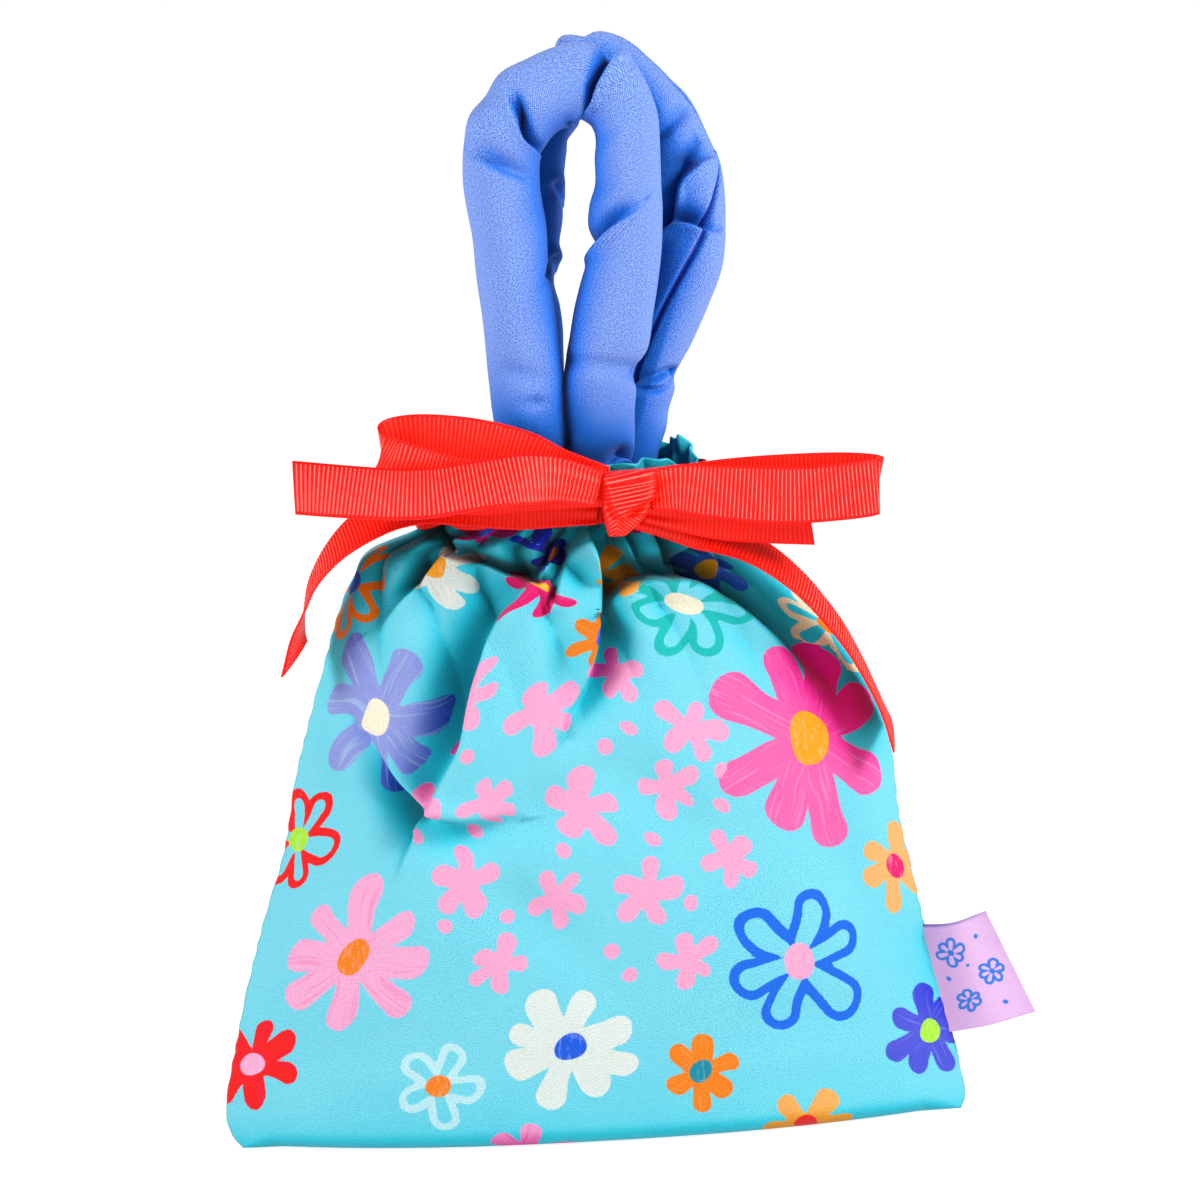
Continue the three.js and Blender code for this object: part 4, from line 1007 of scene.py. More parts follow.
# %% Outlines and seams of the handles
FRONT_OUTLINE = np.array([
    # along, then how far the outer and the inner side stand out
    (0, 0, 0), (31, -0.8, 0.4), (39, -1.4, 0.5), (52, -2.1, -0.2), (70, -1.7, -0.6), (83, -1.0, 0),
    (95, 0.6, 0), (104, 2.0, 0), (109, 2.9, 0), (114, 1.4, -0.2), (119, 2.0, -0.3), (125, 0.3, 0),
    (130, 0.2, 0.3), (133, 1.0, 0.4), (138, 2.2, 0.4), (142, 2.6, -0.8), (145, 2.2, -2.0),
    (151, 1.9, -2.6), (159, 0.8, -1.2), (168, 1.1, -1.6), (174, 1.1, 0.2), (180, 0.6, 1.1),
    (187, 0.1, 0.2), (194, -0.4, 1.4), (203, -0.6, 2.0), (213, -0.4, 2.0), (220, -2.6, 2.5),
    (226, -1.9, 2.2), (237, -1.6, 1.4), (250, -1.2, 1.0), (262, -0.5, 0.5),
])
BACK_OUTLINE = np.array([
    (0, 0, 0), (50, 0, -0.4), (59, 0, -1.4), (66, 0, -3.1), (73, 0, -1.7), (78, 0, -2.9),
    (84, 0, -2.7), (91, 0, -2.6), (95, 0, -3.6), (104, 0, -4.6), (111, 0.6, -5.2), (118, 1.6, -5.0),
    (124, 3.0, -4), (129, 3.1, -3), (134, 1.1, -2), (138, -0.6, -1.5), (142, -2.3, -1),
    (148, -3.2, -0.5), (153, -2.3, 0), (162, -1.4, 0), (168, 0.4, 0), (172, 1.0, 0),
    (182, 0.9, 0), (191, 0.8, 0), (198, 0.4, 0), (207, -1.4, 0), (219, -2.7, 0), (230, -4.2, 0),
    (234, -3.0, 0), (240, -3.1, 0), (247, -1.8, 0), (270, -0.8, 0),
])
FRONT_SEAM = [(0, 120), (60, 112), (130, 104), (200, 112), (261, 120)]
BACK_SEAM = [
    (0, 40), (60, 30), (120, 8), (137, -8), (145, -11), (153, -12), (163, -10), (168, -6),
    (172, -14), (179, -38), (190, -64), (199, -87), (207, -101), (220, -113), (262, -140),
]
HANDLES = {
    "front": (FRONT_HANDLE, FRONT_OUTLINE, FRONT_CREASES, FRONT_SEAM),
    "back": (BACK_HANDLE, BACK_OUTLINE, BACK_CREASES, BACK_SEAM),
}

# %% Handle builder
HANDLE_ROWS, HANDLE_SIDES = 540, 132
HANDLE_DEGREES = np.linspace(-180, 180, HANDLE_SIDES, endpoint=False)
FINE_STEPS = 1200
LONG_SWELL, SHORT_SWELL = 0.3, 0.2
SEAM_GROOVE = (0.7, 1.1, 1.0)


def handle_grid(table, outline, creases, seam):
    """The points of a stuffed tube, how far along it its rows are, and its flat-cloth measures."""
    table = np.array(table)
    fine = through(table, range(len(table)), np.linspace(0, len(table) - 1, FINE_STEPS))
    walked = lengths_along(fine[:, :3], 0)
    at = np.linspace(0, walked[-1], HANDLE_ROWS)
    fine = resampled(fine, walked, at)
    ahead = np.gradient(fine[:, :3], axis=0) * [1, 0, 1]
    ahead /= np.linalg.norm(ahead, axis=1, keepdims=True)
    across = np.stack([-ahead[:, 2], 0 * ahead[:, 0], ahead[:, 0]], -1)

    # The outline in the picture, and wadding that is never packed quite evenly
    along, degrees = np.meshgrid(at, HANDLE_DEGREES, indexing="ij")
    angle = np.radians(degrees)
    swell = LONG_SWELL * np.sin(along / 9 + 2 * np.sin(angle + along / 40))
    swell += SHORT_SWELL * np.sin(along / 4.7 + 3 * angle + np.sin(along / 13))
    outer, inner = np.moveaxis(through(outline[:, 1:], outline[:, 0], along), -1, 0)
    swell += outer * np.clip(np.cos(angle), 0, 1) + inner * np.clip(-np.cos(angle), 0, 1)

    # The creases, in millimetres on the cloth, also where they cross from 180 to -180 degrees
    scale = np.radians((fine[:, 3] + fine[:, 4]).mean() / 2)
    creases = creases + [fold(seam, SEAM_GROOVE, 0.6, 0.7)]
    slid = 0 * along
    for turn in (-360, 0, 360):
        moved = [dict(f, line=[(a, (b + turn) * scale) for a, b in f["line"]]) for f in creases]
        out, shift, _ = fold_cloth(along, degrees * scale, moved)
        swell += out
        slid += shift
    wide = (fine[:, 3:4] + swell) * np.cos(angle)
    deep = (fine[:, 4:5] + swell) * np.sin(angle)
    points = fine[:, None, :3] + across[:, None] * wide[..., None]
    points += ahead[:, None] * slid[..., None] + deep[..., None] * [0, 1, 0]
    thread = np.stack([along, degrees * scale, 0 * along], -1)
    seam = np.array(seam, float) * [1, scale]
    return points, at, thread, nearest_on_line(along, degrees * scale, seam)[0]


# %% [markdown]
# ## Plain polyester for the handles
# The same thin cloth, dyed one periwinkle blue and stretched over wadding. It is matt with a faint
# bloom, and its weave shows as a fine pepper of light and dark threads.

# %% Handle cloth material
plain_polyester, tree, shader = new_material("periwinkle_polyester")
thread, weave = woven(tree, THREAD_PITCH)
pepper = add(tree, "MapRange", {0: weave, 1: -1.6, 2: 1.6, 3: 0.0, 4: 1.0})
colour = add(tree, "Mix", {0: pepper, 6: dye("#6C8EE2"), 7: dye("#92B0FA")}, 2, data_type="RGBA")
# Painted shade: the blue turns purer and darker in the creases and where the handles hide each
# other
colour = speckled(tree, painted_hollow_shade(tree, colour, 1.9, 0.45), weave, 0.5)
# The two edges of the seam turn in and shade each other
from_seam = add(tree, "Attribute", out=2, attribute_name="from_seam")
from_seam = add(tree, "Math", {0: from_seam}, operation="ABSOLUTE")
in_seam = add(tree, "MapRange", {0: from_seam, 1: 0.35, 2: 0.8, 3: 1.0, 4: 0.0})
colour = add(tree, "Mix", {0: in_seam, 6: colour, 7: srgb("#10288C")}, 2, data_type="RGBA")
raised = add(tree, "Bump", {"Strength": 0.3, "Distance": 0.0002, "Height": weave})
plug(tree, shader, {"Base Color": colour, "Normal": raised, "Roughness": 0.8, **CLOTH})

# %% Handles
handles = {}
for name, tables in HANDLES.items():
    points, at, thread, from_seam = handle_grid(*tables)
    handle = make_piece(f"handle_{name}_cloth", points, tube_faces(*points.shape[:2]))
    measure(handle, "thread", thread, "FLOAT_VECTOR")
    measure(handle, "from_seam", from_seam)
    fit(handle, plain_polyester, "handle_cloth", "handle_" + name)
    handles[name] = points, at

# %% Seam stitches of the handles
SEAM_STITCH = dict(pitch=1.9, share=0.5, thickness=0.16)
SEAM_STEPS = 900
SEAM_SMOOTHING = 9


def seam_on_handle(points, at, line):
    """The seam's path on a handle's cloth, and the way out of the cloth along it."""
    normals = surface_normals(points)
    centre = points.mean(1, keepdims=True)
    normals *= np.sign(((points - centre) * normals).sum(-1, keepdims=True) + 1e-9)
    line = np.array(line, float)
    along = np.linspace(line[0, 0] + 4, line[-1, 0] - 4, SEAM_STEPS)
    degrees = through(line[:, 1:], line[:, 0], along)[:, 0]
    i = np.clip(np.searchsorted(at, along), 0, len(at) - 1)
    j = ((degrees + 180) / (360 / HANDLE_SIDES)).round().astype(int) % HANDLE_SIDES
    even = np.ones(SEAM_SMOOTHING) / SEAM_SMOOTHING
    smooth = [np.convolve(column, even, "valid") for column in points[i, j].T]
    half = SEAM_SMOOTHING // 2
    return np.stack(smooth, -1), normals[i, j][half:-half]


# The same matt spun thread as the hem's, in a deeper blue than the cloth
blue_thread = spun_thread("blue_spun_polyester_thread", "#14288C", "#2A48B4")
for name, (points, at) in handles.items():
    path, out = seam_on_handle(points, at, HANDLES[name][-1])
    stitches = stitch_row(path, out, **SEAM_STITCH)
    fit(make_piece("handle_seam_" + name, *stitches), blue_thread, "handle_cloth")

# %% [markdown]
# ## The ribbon
# Grosgrain is a stiff ribbon with thick weft cords laid side by side, so it has ribs across its
# width and a narrow woven edge. The ribs catch the light as pale lines. A bump texture could draw
# them, but they are real relief here, because a ribbon's edge-on views show them as small teeth.
# Each length of ribbon follows a table of places, with its lean and how far it tips forward.

# %% Ribbon tables
RIBBON_WIDTH = 16
RIB_PITCH = 1.2
RIB_HEIGHT = 0.1
EDGE_WIDTH = 0.9
RIBBON_HALF_THICKNESS = 0.25
RIBBON_ENDS = (RIBBON_WIDTH, 0, 0)
BOW_LOOP_LEFT = [
    # x, y, z, lean, then wide, forward and cut where they aren't 16, 0 and 0
    (11.4, -26.8, 190.8, 6, 10), (-3, -26.6, 195.2, 16, 14), (-12, -26.2, 199.4, 19, 15.6),
    (-25, -25.4, 203.2, 15), (-38.7, -25, 205.2, 13), (-47.6, -25.4, 204.8, 15),
    (-51.4, -28.2, 202.6, 16), (-50, -31.4, 200, 16), (-45, -32.4, 198, 15),
    (-36.8, -32, 194.9, 15), (-25.5, -31.6, 192, 13, 15.4), (-8, -30.6, 191, 9, 13),
    (11.6, -29.2, 190.2, 6, 11.5),
]
BOW_LOOP_RIGHT = [
    (24.4, -30.4, 188.4, 10, 11.5), (32.2, -32.6, 188.8, 16, 13.6), (41, -34.6, 187.6, 18, 15),
    (55.3, -36.2, 186, 9), (66, -36.6, 185.3, 4), (77, -36, 185.5, 4), (85, -34.4, 185.9, 5),
    (88.3, -31.6, 186.4, 5), (85.4, -29.4, 187.4, 4), (74, -28.7, 188.3, 3),
    (53.3, -28.7, 188.7, 3, 15.4), (36, -29, 188.9, 3, 13), (24.6, -29, 188.6, 3, 9.5),
]
BOW_TAIL_LEFT = [
    (9.3, -32.4, 190, 4, 10), (-2, -35, 193.4, 16, 13, -15), (-12, -38, 194.3, 20, 15.6, -32),
    (-20, -39.6, 193.9, 20, 16, -35), (-29, -40.2, 193, 17, 16, -34),
    (-38, -40.2, 192.1, 14, 16, -33), (-48, -39.6, 192.3, 9, 16, -31),
    (-61, -38.4, 193.6, 3, 16, -29), (-76.2, -36.6, 195.5, -1, 16, -27, 1.5),
]
BOW_TAIL_RIGHT = [
    (22.4, -27.6, 183.4, 8, 9), (36.8, -27, 181.6, 10, 14), (46.6, -27, 180.4, 9),
    (56.7, -27, 179.3, 7), (68.9, -27, 178.2, 3, 16, 0, -1.5),
]
NECK_TAIL_LEFT = [
    (8.9, -24.6, 184.6, 0, 11), (-2, -24.4, 186.2, 0, 14.5), (-14, -23.6, 186.8, 0),
    (-27, -21.8, 188.2, 2, 16, -8), (-38.3, -20.4, 189, 4, 16, -26),
    (-47.6, -19.6, 186.8, 3, 16, -42), (-56, -19, 182.8, 1, 16, -52),
    (-63.2, -18.2, 178.2, -2, 16, -58), (-69, -16.8, 172.6, -6, 16, -66),
    (-73.4, -15, 166.4, -10, 16, -74), (-76.4, -13, 159.4, -38, 16, -86),
    (-78.8, -11.4, 151.6, -72, 16, -99), (-80.4, -10.4, 144, -88, 16, -109, -4),
]
NECK_TAIL_RIGHT = [
    (18.4, -26, 182.2, 22, 9), (30.6, -24.6, 179.6, 12, 13, -4), (38, -22.7, 177.4, 9, 15.5, -25),
    (45, -22, 173.8, 10, 16, -50), (52, -22.2, 169.8, 12, 16, -62), (59, -21.6, 164.8, 8, 16, -64),
    (65.2, -20.2, 159, -2, 16, -62), (71, -19, 152, -6, 16, -60),
    (77.4, -16.5, 142.6, -10, 16, -56), (82.8, -14, 132, -12, 16, -54),
    (87, -11.2, 121.8, -10, 16, -56), (90.2, -8.8, 112, 2, 16, -60, -2),
]

# %% Ribbon band
FOLDED_DEPTH = 1.0


def rib_relief(along, beside, wide):
    """How far the cords stand out: whole ribs in the middle, small loops in the woven edges."""
    rib = np.cos(2 * np.pi * along / RIB_PITCH)
    inner = 1 - smoothstep(np.abs(beside), wide / 2 - EDGE_WIDTH, wide / 2 - EDGE_WIDTH + 0.3)
    return RIB_HEIGHT * rib * (0.45 + 0.55 * inner)


def strip(centre, width, along, wide, cut=0.0, sag=0.0, columns=15):
    """A ribbed band of cloth along a centre line: a closed ring of points at each step."""
    ahead = np.gradient(centre, axis=0)
    ahead /= np.linalg.norm(ahead, axis=1, keepdims=True)
    width = width - ahead * (width * ahead).sum(1, keepdims=True)
    width /= np.linalg.norm(width, axis=1, keepdims=True)
    face = np.cross(ahead, width)
    even = np.linspace(-1, 1, columns)[None, :]
    share = np.sin(even * np.pi / 2) * 0.4 + even * 0.6
    along, wide = along[:, None], wide[:, None]
    beside = share * wide / 2
    # A narrowed ribbon is folded lengthwise, and a free one is a little dished
    narrowed = FOLDED_DEPTH * np.clip(1 - wide / RIBBON_WIDTH, 0, 1)
    bend = narrowed * np.cos(3.2 * np.pi * share + 0.6) + sag * (share**2 - 0.4)
    shift = ahead[:, None] * (share * np.reshape(cut, (-1, 1)))[..., None]
    middle = centre[:, None] + width[:, None] * beside[..., None] + shift
    thick = RIBBON_HALF_THICKNESS + rib_relief(along, beside, wide)
    front = middle + face[:, None] * (bend + thick)[..., None]
    back = middle + face[:, None] * (bend - thick)[..., None]
    place = np.stack([along + 0 * beside, beside, wide / 2 - np.abs(beside)], -1)
    return np.concatenate([front, back[:, ::-1]], 1), np.concatenate([place, place[:, ::-1]], 1)


def band_faces(rows, ring):
    """The quads of a flat band with two faces, closed at both ends."""
    faces = grid_faces(rows, ring, ring=True)
    for first in (0, (rows - 1) * ring):
        for i in range(ring // 2 - 1):
            quad = [first + i, first + i + 1, first + ring - 2 - i, first + ring - 1 - i]
            faces.append(quad if first else quad[::-1])
    return faces


# %% Ribbon from a table
CENTRE_STEPS = 4000
STEPS_A_RIB = 6


def rib_steps(walked):
    """Places along a ribbon that are close enough together to draw each rib."""
    return np.linspace(0, walked[-1], int(walked[-1] / (RIB_PITCH / STEPS_A_RIB)))


def finish_ribbon(name, points, place, length, node):
    ribbon = make_piece(name, points, band_faces(*points.shape[:2]))
    measure(ribbon, "ribs", place, "FLOAT_VECTOR")
    fit(ribbon, coral_grosgrain, "grosgrain", node)
    print(name, "is", round(length), "mm long")


def make_ribbon(node, rows, sag=0.0):
    """One length of ribbon from its table."""
    table = np.array([(*row, *RIBBON_ENDS[len(row) - 4 :]) for row in rows], float)
    fine = through(table, range(len(table)), np.linspace(0, len(table) - 1, CENTRE_STEPS))
    walked = lengths_along(fine[:, :3], 0)
    at = rib_steps(walked)
    fine = resampled(fine, walked, at)
    wide, cut = fine[:, 4], fine[:, 6]
    lean, forward = np.radians(fine[:, 3]), np.radians(fine[:, 5])
    level = np.cos(forward)
    width = np.stack([np.sin(lean) * level, -np.sin(forward), np.cos(lean) * level], -1)
    points, place = strip(fine[:, :3], width, at, wide, cut, sag)
    finish_ribbon(node + "_ribbon", points, place, walked[-1], node)


# %% [markdown]
# ## Coral grosgrain
# Dyed polyester or rayon cord, slightly shiny on the crown of each rib. The pitch of the ribs is
# the real 1.2 mm. Crown, flank and groove get three reds: a pale painted highlight on the crown,
# and a deeper red as painted shade in the groove.

# %% Grosgrain material
coral_grosgrain, tree, shader = new_material("coral_grosgrain")
place = add(tree, "Attribute", out=1, attribute_name="ribs")
along, beside, from_edge = add(tree, "SeparateXYZ", {0: place}).node.outputs
turns = add(tree, "Math", {0: along, 1: 2 * np.pi / RIB_PITCH}, operation="MULTIPLY")
wave = add(tree, "Math", {0: turns}, operation="COSINE")
crown = add(tree, "MapRange", {0: wave, 1: -1.0, 2: 1.0, 3: 0.0, 4: 1.0})
# The woven edge has small loops instead of whole cords
loop_turns = add(tree, "Math", {0: beside, 1: 9.0}, operation="MULTIPLY")
loop_wave = add(tree, "Math", {0: loop_turns}, operation="SINE")
loops = add(tree, "MapRange", {0: loop_wave, 1: -1.0, 2: 1.0, 3: 0.15, 4: 0.8})
edge_crown = add(tree, "Math", {0: crown, 1: loops}, operation="MULTIPLY")
edge_band = {0: from_edge, 1: EDGE_WIDTH, 2: EDGE_WIDTH - 0.25, 3: 0.0, 4: 1.0}
at_edge = add(tree, "MapRange", edge_band)
crown = add(tree, "Mix", {0: at_edge, 2: crown, 3: edge_crown}, data_type="FLOAT")
fibre_place = add(tree, "VectorMath", {0: place, 1: (4.0, 0.8, 0.0)}, operation="MULTIPLY")
fibre = add(tree, "TexNoise", {"Vector": fibre_place, "Scale": 1.0, "Detail": 3.0})
fibre_step = add(tree, "MapRange", {0: fibre, 1: 0.0, 2: 1.0, 3: -0.15, 4: 0.15})
crown = add(tree, "Math", {0: crown, 1: fibre_step}, operation="ADD")
# Painted shade: the groove of each rib gets a deeper red. Painted highlight: its crown gets a pale
# pink
painted_groove_shade = add(tree, "MapRange", {0: crown, 1: 0.0, 2: 0.6, 3: 0.0, 4: 1.0})
painted_crown_highlight = add(tree, "MapRange", {0: crown, 1: 0.8, 2: 1.0, 3: 0.0, 4: 0.55})
colour = add(tree, "Mix", {0: painted_groove_shade, 6: srgb("#FC0400"), 7: srgb("#FF1408")}, 2, data_type="RGBA")
colour = add(tree, "Mix", {0: painted_crown_highlight, 6: colour, 7: srgb("#FF9E90")}, 2, data_type="RGBA")
raised = add(tree, "Bump", {"Strength": 0.25, "Distance": 0.0002, "Height": fibre})
# The red gets painted shade: purer and a little darker in the hollows of the bow
plug(tree, shader, {
    "Base Color": painted_hollow_shade(tree, colour, 2.8, 0.9), "Normal": raised, "Roughness": 0.45,
    "Specular IOR Level": 0.22, "Sheen Weight": 0.06, "Sheen Roughness": 0.3,
})

# %% The bow and the hanging tails
make_ribbon("bow_loop_left", BOW_LOOP_LEFT)
make_ribbon("bow_loop_right", BOW_LOOP_RIGHT)
make_ribbon("bow_tail_left", BOW_TAIL_LEFT, sag=0.5)
make_ribbon("bow_tail_right", BOW_TAIL_RIGHT)
make_ribbon("neck_tail_left", NECK_TAIL_LEFT, sag=-0.4)
make_ribbon("neck_tail_right", NECK_TAIL_RIGHT, sag=-0.4)

# %% [markdown]
# ## The ribbon round the neck
# It lies on the gathers, so its lower edge rises and falls with the puffs of cloth below it. A
# Shrinkwrap modifier would press it into every groove, where a real ribbon spans from puff to
# puff, so it follows the smooth wall at a small distance.

# %% Neck ribbon
NECK_RIBBON_LOW = 179.2
NECK_RIBBON_HEIGHT = 14.6
NECK_RIBBON_CLEARANCE = 2.7
# Once round the neck is 4: from the middle of the front by the right seam, 1, to the left one, 3
NECK_START, NECK_END, NECK_STEPS = 0.34, 4.28, 1500
TURNS = np.linspace(NECK_START, NECK_END, NECK_STEPS)
on_front = (TURNS < 1) | (TURNS > 3)
u = np.where(TURNS < 1, TURNS, np.where(TURNS < 3, 2 - TURNS, TURNS - 4))


def neck_line(height, swell):
    """A line round the neck, that far out from the gathered cloth."""
    both = zip(wall(u, height, -1), wall(u, height, 1))
    x, depth, out_x, out_y, _ = (np.where(on_front, front, back) for front, back in both)
    y = SEAM_Y + np.where(on_front, -1, 1) * (depth + out_y * swell)
    return np.stack([x + out_x * swell, y, height + 0 * x], -1)


ripple = 0.9 * np.sin(TURNS * 17 + 2 * np.sin(TURNS * 5)) * on_front
low = NECK_RIBBON_LOW + 0.8 + 0.9 * np.sin(TURNS * 15 + 1.4 * np.sin(TURNS * 4))
low = neck_line(low, NECK_RIBBON_CLEARANCE + 0.5 + 0.5 * ripple)
high = neck_line(NECK_RIBBON_LOW + NECK_RIBBON_HEIGHT, NECK_RIBBON_CLEARANCE)
walked = lengths_along((low + high) / 2, 0)
at = rib_steps(walked)
low, high = resampled(low, walked, at), resampled(high, walked, at)
points, place = strip((low + high) / 2, high - low, at, np.linalg.norm(high - low, axis=1))
finish_ribbon("neck_ribbon_cloth", points, place, walked[-1], "neck_ribbon")

# %% [markdown]
# ## The knot
# The ribbon passes once over the middle of the bow. Pulled tight, it is broad and flat at the top
# and drawn to a point below, with its ribs nearly level and bending round the fold. Only its
# outside shows, so it is one closed form with the relief of the ribs, not a band that is tied.

# %% Knot tables
KNOT = np.array([
    # height, x, y, wide, deep
    (176.0, 14.0, -26.8, 2.6, 4.0), (179.0, 15.4, -27.5, 4.7, 5.6), (183.4, 17.0, -27.8, 7.0, 6.0),
    (188.0, 17.8, -27.9, 8.2, 6.1), (192.8, 18.2, -27.8, 8.3, 6.0), (194.2, 18.2, -27.7, 7.4, 4.0),
])
KNOT_FOLDS = [
    fold([(9.6, 193), (10.9, 189.5), (11.6, 186.7), (13, 183.2), (15.1, 180.3)],
         (0.4, 1.3, 0.5), 0.7, 1.6, 0.3),
    fold([(15.1, 180.3), (18.4, 183), (22.2, 184.8), (26.5, 186)], (0.5, 1.5, 0.5), 0.7, 1.8, 0.4),
    fold([(13, 192), (18, 191), (24, 191.6)], (0.1, 0.3, 0.1), 1, 1.6),
]

# %% Knot
KNOT_ROWS, KNOT_SIDES = 170, 150
SQUARENESS = 0.62
KNOT_MIDDLE = 18


def squared(share):
    """A sine or cosine that keeps closer to its ends, which makes a circle squarer."""
    return np.sign(share) * np.abs(share) ** SQUARENESS


height = np.linspace(KNOT[0, 0], KNOT[-1, 0], KNOT_ROWS)[:, None]
angle = np.linspace(0, 2 * np.pi, KNOT_SIDES, endpoint=False)[None, :]
middle_x, middle_y, wide, deep = np.moveaxis(through(KNOT[:, 1:], KNOT[:, 0], height), -1, 0)
round_x, round_y = squared(np.cos(angle)), squared(np.sin(angle))
x, y = middle_x + wide * round_x, middle_y + deep * round_y
z = height + 0 * x
beside = x - KNOT_MIDDLE
# The ribs bend round the fold: nearly level above it, and steep below on the right
upper_ribs = height - 0.16 * beside + 0.045 * beside**2 * smoothstep(-height, -186, -180)
rib_line = np.where((height < 181.5) & (x > 14), height + 0.8 * beside, upper_ribs)
flat_top = smoothstep(height, 189.5, 191)
cord = RIB_HEIGHT * np.cos(2 * np.pi * rib_line / RIB_PITCH) * (1 - 0.8 * flat_top)
cord *= 1 - smoothstep(np.abs(x - middle_x), wide - 1.4, wide - 0.7)
grown = np.where(y < middle_y, fold_cloth(x, z, KNOT_FOLDS)[0], 0) + cord
points = np.stack([x + round_x * grown * 0.5, y + round_y * grown, z], -1)
knot = make_piece("bow_knot_ribbon", points, tube_faces(KNOT_ROWS, KNOT_SIDES))
ribs = [rib_line + 0.6 * flat_top * np.sin(rib_line), x - middle_x]
ribs.append(wide - np.abs(x - middle_x) + 0.4)
measure(knot, "ribs", np.stack(ribs, -1), "FLOAT_VECTOR")
fit(knot, coral_grosgrain, "grosgrain", "bow_knot")

# %% [markdown]
# ## The side label
# A strip of satin ribbon, folded in half and caught in the side seam. Satin's long floats give it a
# smooth face with a soft streak of light, which the material also paints on as lighter streaks
# along the floats. It carries a few small blue daisies and dots, drawn by the same distances as the
# print of the panels.

# %% Label
LABEL_WIDTH, LABEL_HEIGHT = 22, 31
LABEL_NEAR_LOW, LABEL_NEAR_HIGH = 22.4, 54.8
LABEL_FAR_LOW, LABEL_FAR_HIGH = (127.6, 28.5), (114.6, 58.8)
LABEL_CURL = 3
LABEL_HALF_THICKNESS = 0.45
LABEL_HELD = 2.8
LABEL_STEPS = (90, 120)
share, rise = np.meshgrid(*(np.linspace(0, 1, steps) for steps in LABEL_STEPS), indexing="ij")
near_z = LABEL_NEAR_LOW + rise * (LABEL_NEAR_HIGH - LABEL_NEAR_LOW)
near_x = through(SECTIONS[:, 2:3], SECTIONS[:, 0], near_z)[..., 0] - LABEL_HELD
far_x, far_z = (low + rise * (high - low) for low, high in zip(LABEL_FAR_LOW, LABEL_FAR_HIGH))
curl = LABEL_CURL * (np.sin(np.pi * share) ** 2 + 2 * share**2)
middle = np.stack([
    near_x + share * (far_x - near_x),
    SEAM_Y - curl - 0.5 * np.sin(2.2 * np.pi * rise + 1) * share,
    near_z + share * (far_z - near_z) - 0.9 * np.sin(np.pi * share) * (0.4 + rise),
], -1)
out = surface_normals(middle)
out *= np.sign(-out[..., 1:2])
thick = LABEL_HALF_THICKNESS * np.minimum(1, 6 * (1 - share) + 0.3)[..., None]
front, back = middle + out * thick, middle - out * thick
points = np.concatenate([front, back[:, ::-1]], 1)
label = make_piece("side_label_satin", points, band_faces(*points.shape[:2]))

# %% Label motifs
DAISY = dict(petals=6, plump=0.42, line=0.8)
SPOT = dict(petals=0, plump=0, line=0, turn=0, heart=0)
LABEL_MOTIFS = [
    dict(DAISY, across=8, up=23, reach=4.2, turn=10, heart=0.9),
    dict(DAISY, across=16, up=14, reach=3.6, turn=30, heart=0.8),
    dict(DAISY, across=8, up=8, reach=3.2, turn=0, heart=0.7),
    dict(SPOT, across=16.5, up=25, reach=0.7),
    dict(SPOT, across=5, up=15.5, reach=0.7),
    dict(SPOT, across=17, up=5, reach=0.7),
    dict(SPOT, across=11.5, up=18.5, reach=0.5),
]
# The motifs are on the front face only, and the cut top edge is deep blue
across, height = LABEL_WIDTH * share, LABEL_HEIGHT * rise
petals, hearts, nearest, _ = paint(across, height, LABEL_MOTIFS)
half_line = np.array([motif["line"] / 2 for motif in LABEL_MOTIFS])[nearest]
drawn = np.minimum(drawn_distance(petals, half_line), hearts)
place = np.stack([across, height, 0 * height], -1)
top_edge = np.exp(-(((LABEL_HEIGHT - height) / 0.6) ** 2)) * (1 - 0.7 * share)
measure(label, "drawn", np.concatenate([drawn, np.full_like(drawn, 9)], 1))
measure(label, "thread", np.concatenate([place, place], 1), "FLOAT_VECTOR")
measure(label, "edge", np.concatenate([top_edge, top_edge[:, ::-1]], 1))

# %% Satin material
pink_satin, tree, shader = new_material("pink_polyester_satin")
thread = add(tree, "Attribute", out=1, attribute_name="thread")
floats = add(tree, "VectorMath", {0: thread, 1: (0.5, 3.2, 0.0)}, operation="MULTIPLY")
# Painted sheen: lighter pink streaks along the floats, from the same noise that raises them as
# relief
float_relief_and_painted_sheen = add(tree, "TexNoise", {"Vector": floats, "Scale": 1.0, "Detail": 2.0})
colour = add(tree, "Mix", {0: float_relief_and_painted_sheen, 6: dye("#E4B2EA"), 7: dye("#F4CCF6")}, 2, data_type="RGBA")
# Painted shade: the pink turns purer and darker where the label is enclosed, near the seam
colour = painted_hollow_shade(tree, colour, 1.5, 0.5)
drawn = add(tree, "Attribute", out=2, attribute_name="drawn")
drawn = add(tree, "MapRange", {0: drawn, 1: 0.12, 2: -0.12, 3: 0.0, 4: 1.0})
colour = add(tree, "Mix", {0: drawn, 6: colour, 7: dye("#2F86E8", 0.05)}, 2, data_type="RGBA")
edge = add(tree, "Attribute", out=2, attribute_name="edge")
colour = add(tree, "Mix", {0: edge, 6: colour, 7: srgb("#2A1E9C")}, 2, data_type="RGBA")
raised = add(tree, "Bump", {"Strength": 0.12, "Distance": 0.0001, "Height": float_relief_and_painted_sheen})
plug(tree, shader, {
    "Base Color": colour, "Normal": raised, "Roughness": 0.38, "Anisotropic": 0.5,
    "Sheen Weight": 0.1,
})
fit(label, pink_satin, "satin", "side_label")

# %% [markdown]
# ## Floor and light
# The pouch stands on a white light table, which hides its shadow and keeps the background even. A
# plain floor under strong lamps would show a shadow instead. Two softboxes stand at its sides,
# above it, so both edges of the belly are bright.

# %% Floor
FLOOR = 30
light_table, tree, shader = new_material("white_acrylic_light_table")
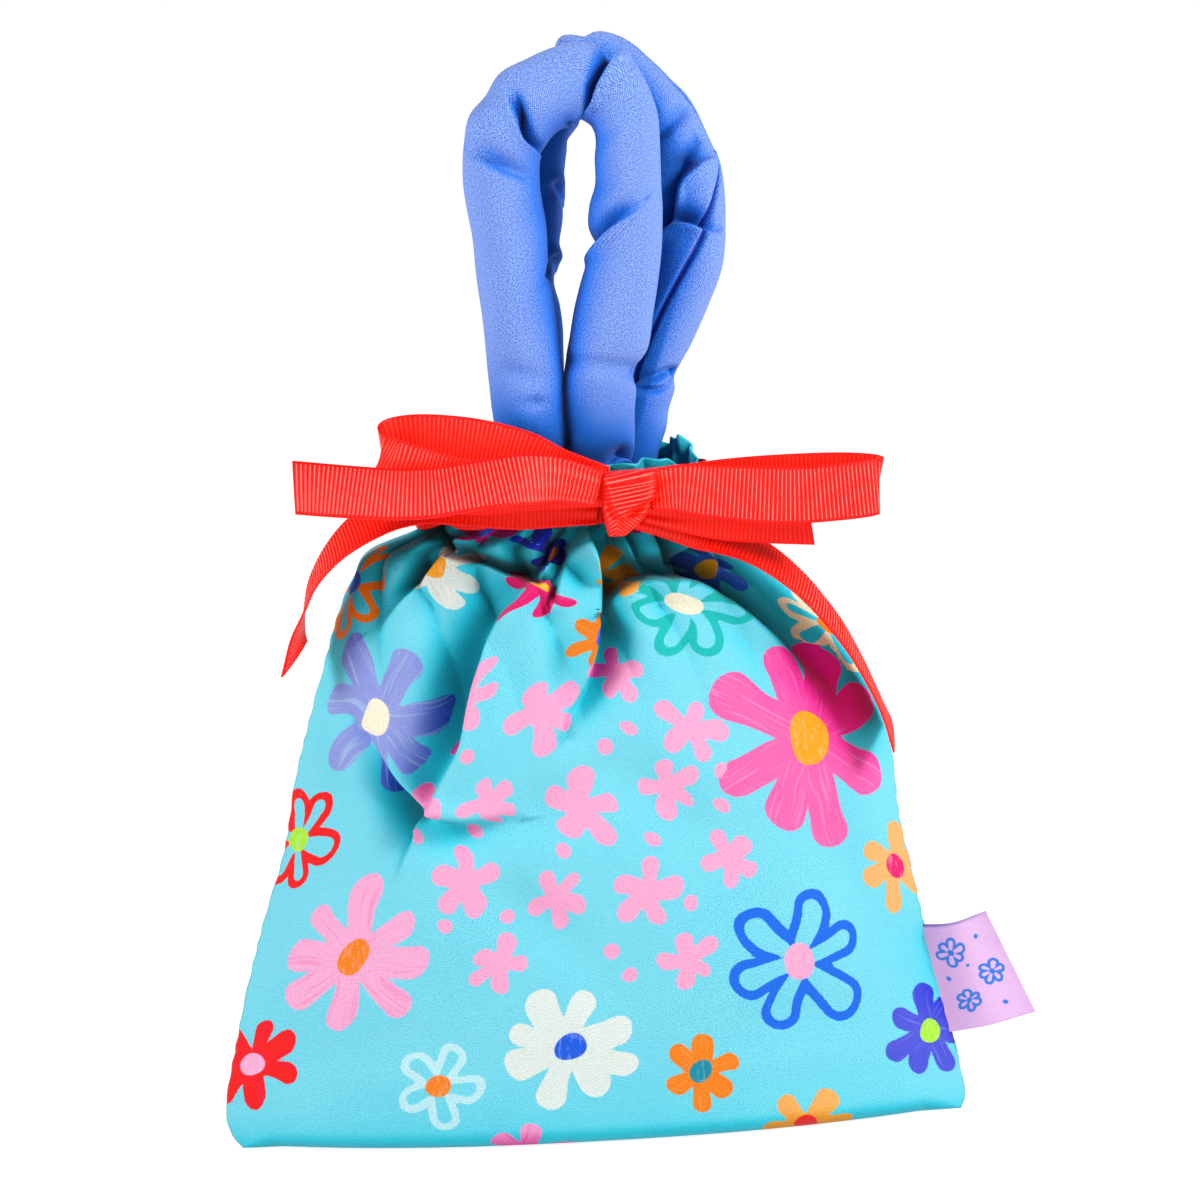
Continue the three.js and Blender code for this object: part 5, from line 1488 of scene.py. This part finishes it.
# Opal acrylic lit from below. Its glow is even, with a faint mottle from the tubes underneath
place = add(tree, "TexCoord", out=3)
mottle = add(tree, "TexNoise", {"Vector": place, "Scale": 3.0, "Detail": 1.0})
grey = {0: mottle, 6: (0.3, 0.3, 0.3, 1), 7: (0.34, 0.34, 0.34, 1)}
colour = add(tree, "Mix", grey, 2, data_type="RGBA")
# The glow is weaker in the middle of the table, where the softboxes light it as well
from_middle = add(tree, "VectorMath", {0: place}, "Value", operation="LENGTH")
glow = add(tree, "MapRange", {0: from_middle, 1: 0.3, 2: 2.2, 3: 0.8, 4: 0.98})
plug(tree, shader, {
    "Base Color": colour, "Roughness": 0.9, "Emission Color": (1, 1, 1, 1),
    "Emission Strength": glow,
})
floor = bpy.data.meshes.new("floor")
corners = [(-FLOOR, -FLOOR, 0), (FLOOR, -FLOOR, 0), (FLOOR, FLOOR, 0), (-FLOOR, FLOOR, 0)]
floor.from_pydata(corners, [], [(0, 1, 2, 3)])
floor.materials.append(light_table)
put("floor", floor)

# %% Surround and lamps
CEILING = 0.14
LIGHTS = [
    # name, place, width, power
    ("right softbox", (1.65, -0.9, 1.2), 0.8, 55),
    ("left softbox", (-1.65, -0.9, 1.15), 0.8, 41),
]
# The surround is white at the horizon, where it meets the table, and dims towards the ceiling
world = bpy.data.worlds.new("surround")
world.use_nodes = True
tree = world.node_tree
rise = add(tree, "SeparateXYZ", {0: add(tree, "TexCoord")}, 2)
rise = add(tree, "Math", {0: rise}, operation="ABSOLUTE")
glow = add(tree, "MapRange", {0: rise, 1: 0.02, 2: 0.08, 3: 1.0, 4: CEILING})
plug(tree, tree.nodes["Background"], {0: (1, 1, 1, 1), 1: glow})
bpy.context.scene.world = world

for name, place, width, power in LIGHTS:
    lamp = bpy.data.lights.new(name, "AREA")
    lamp.size = width
    lamp.energy = power
    light = put(name, lamp)
    light.location = place
    light.rotation_mode = "QUATERNION"
    light.rotation_quaternion = Vector(AIM * MM - place).to_track_quat("-Z", "Y")
print(len(LIGHTS), "lamps")
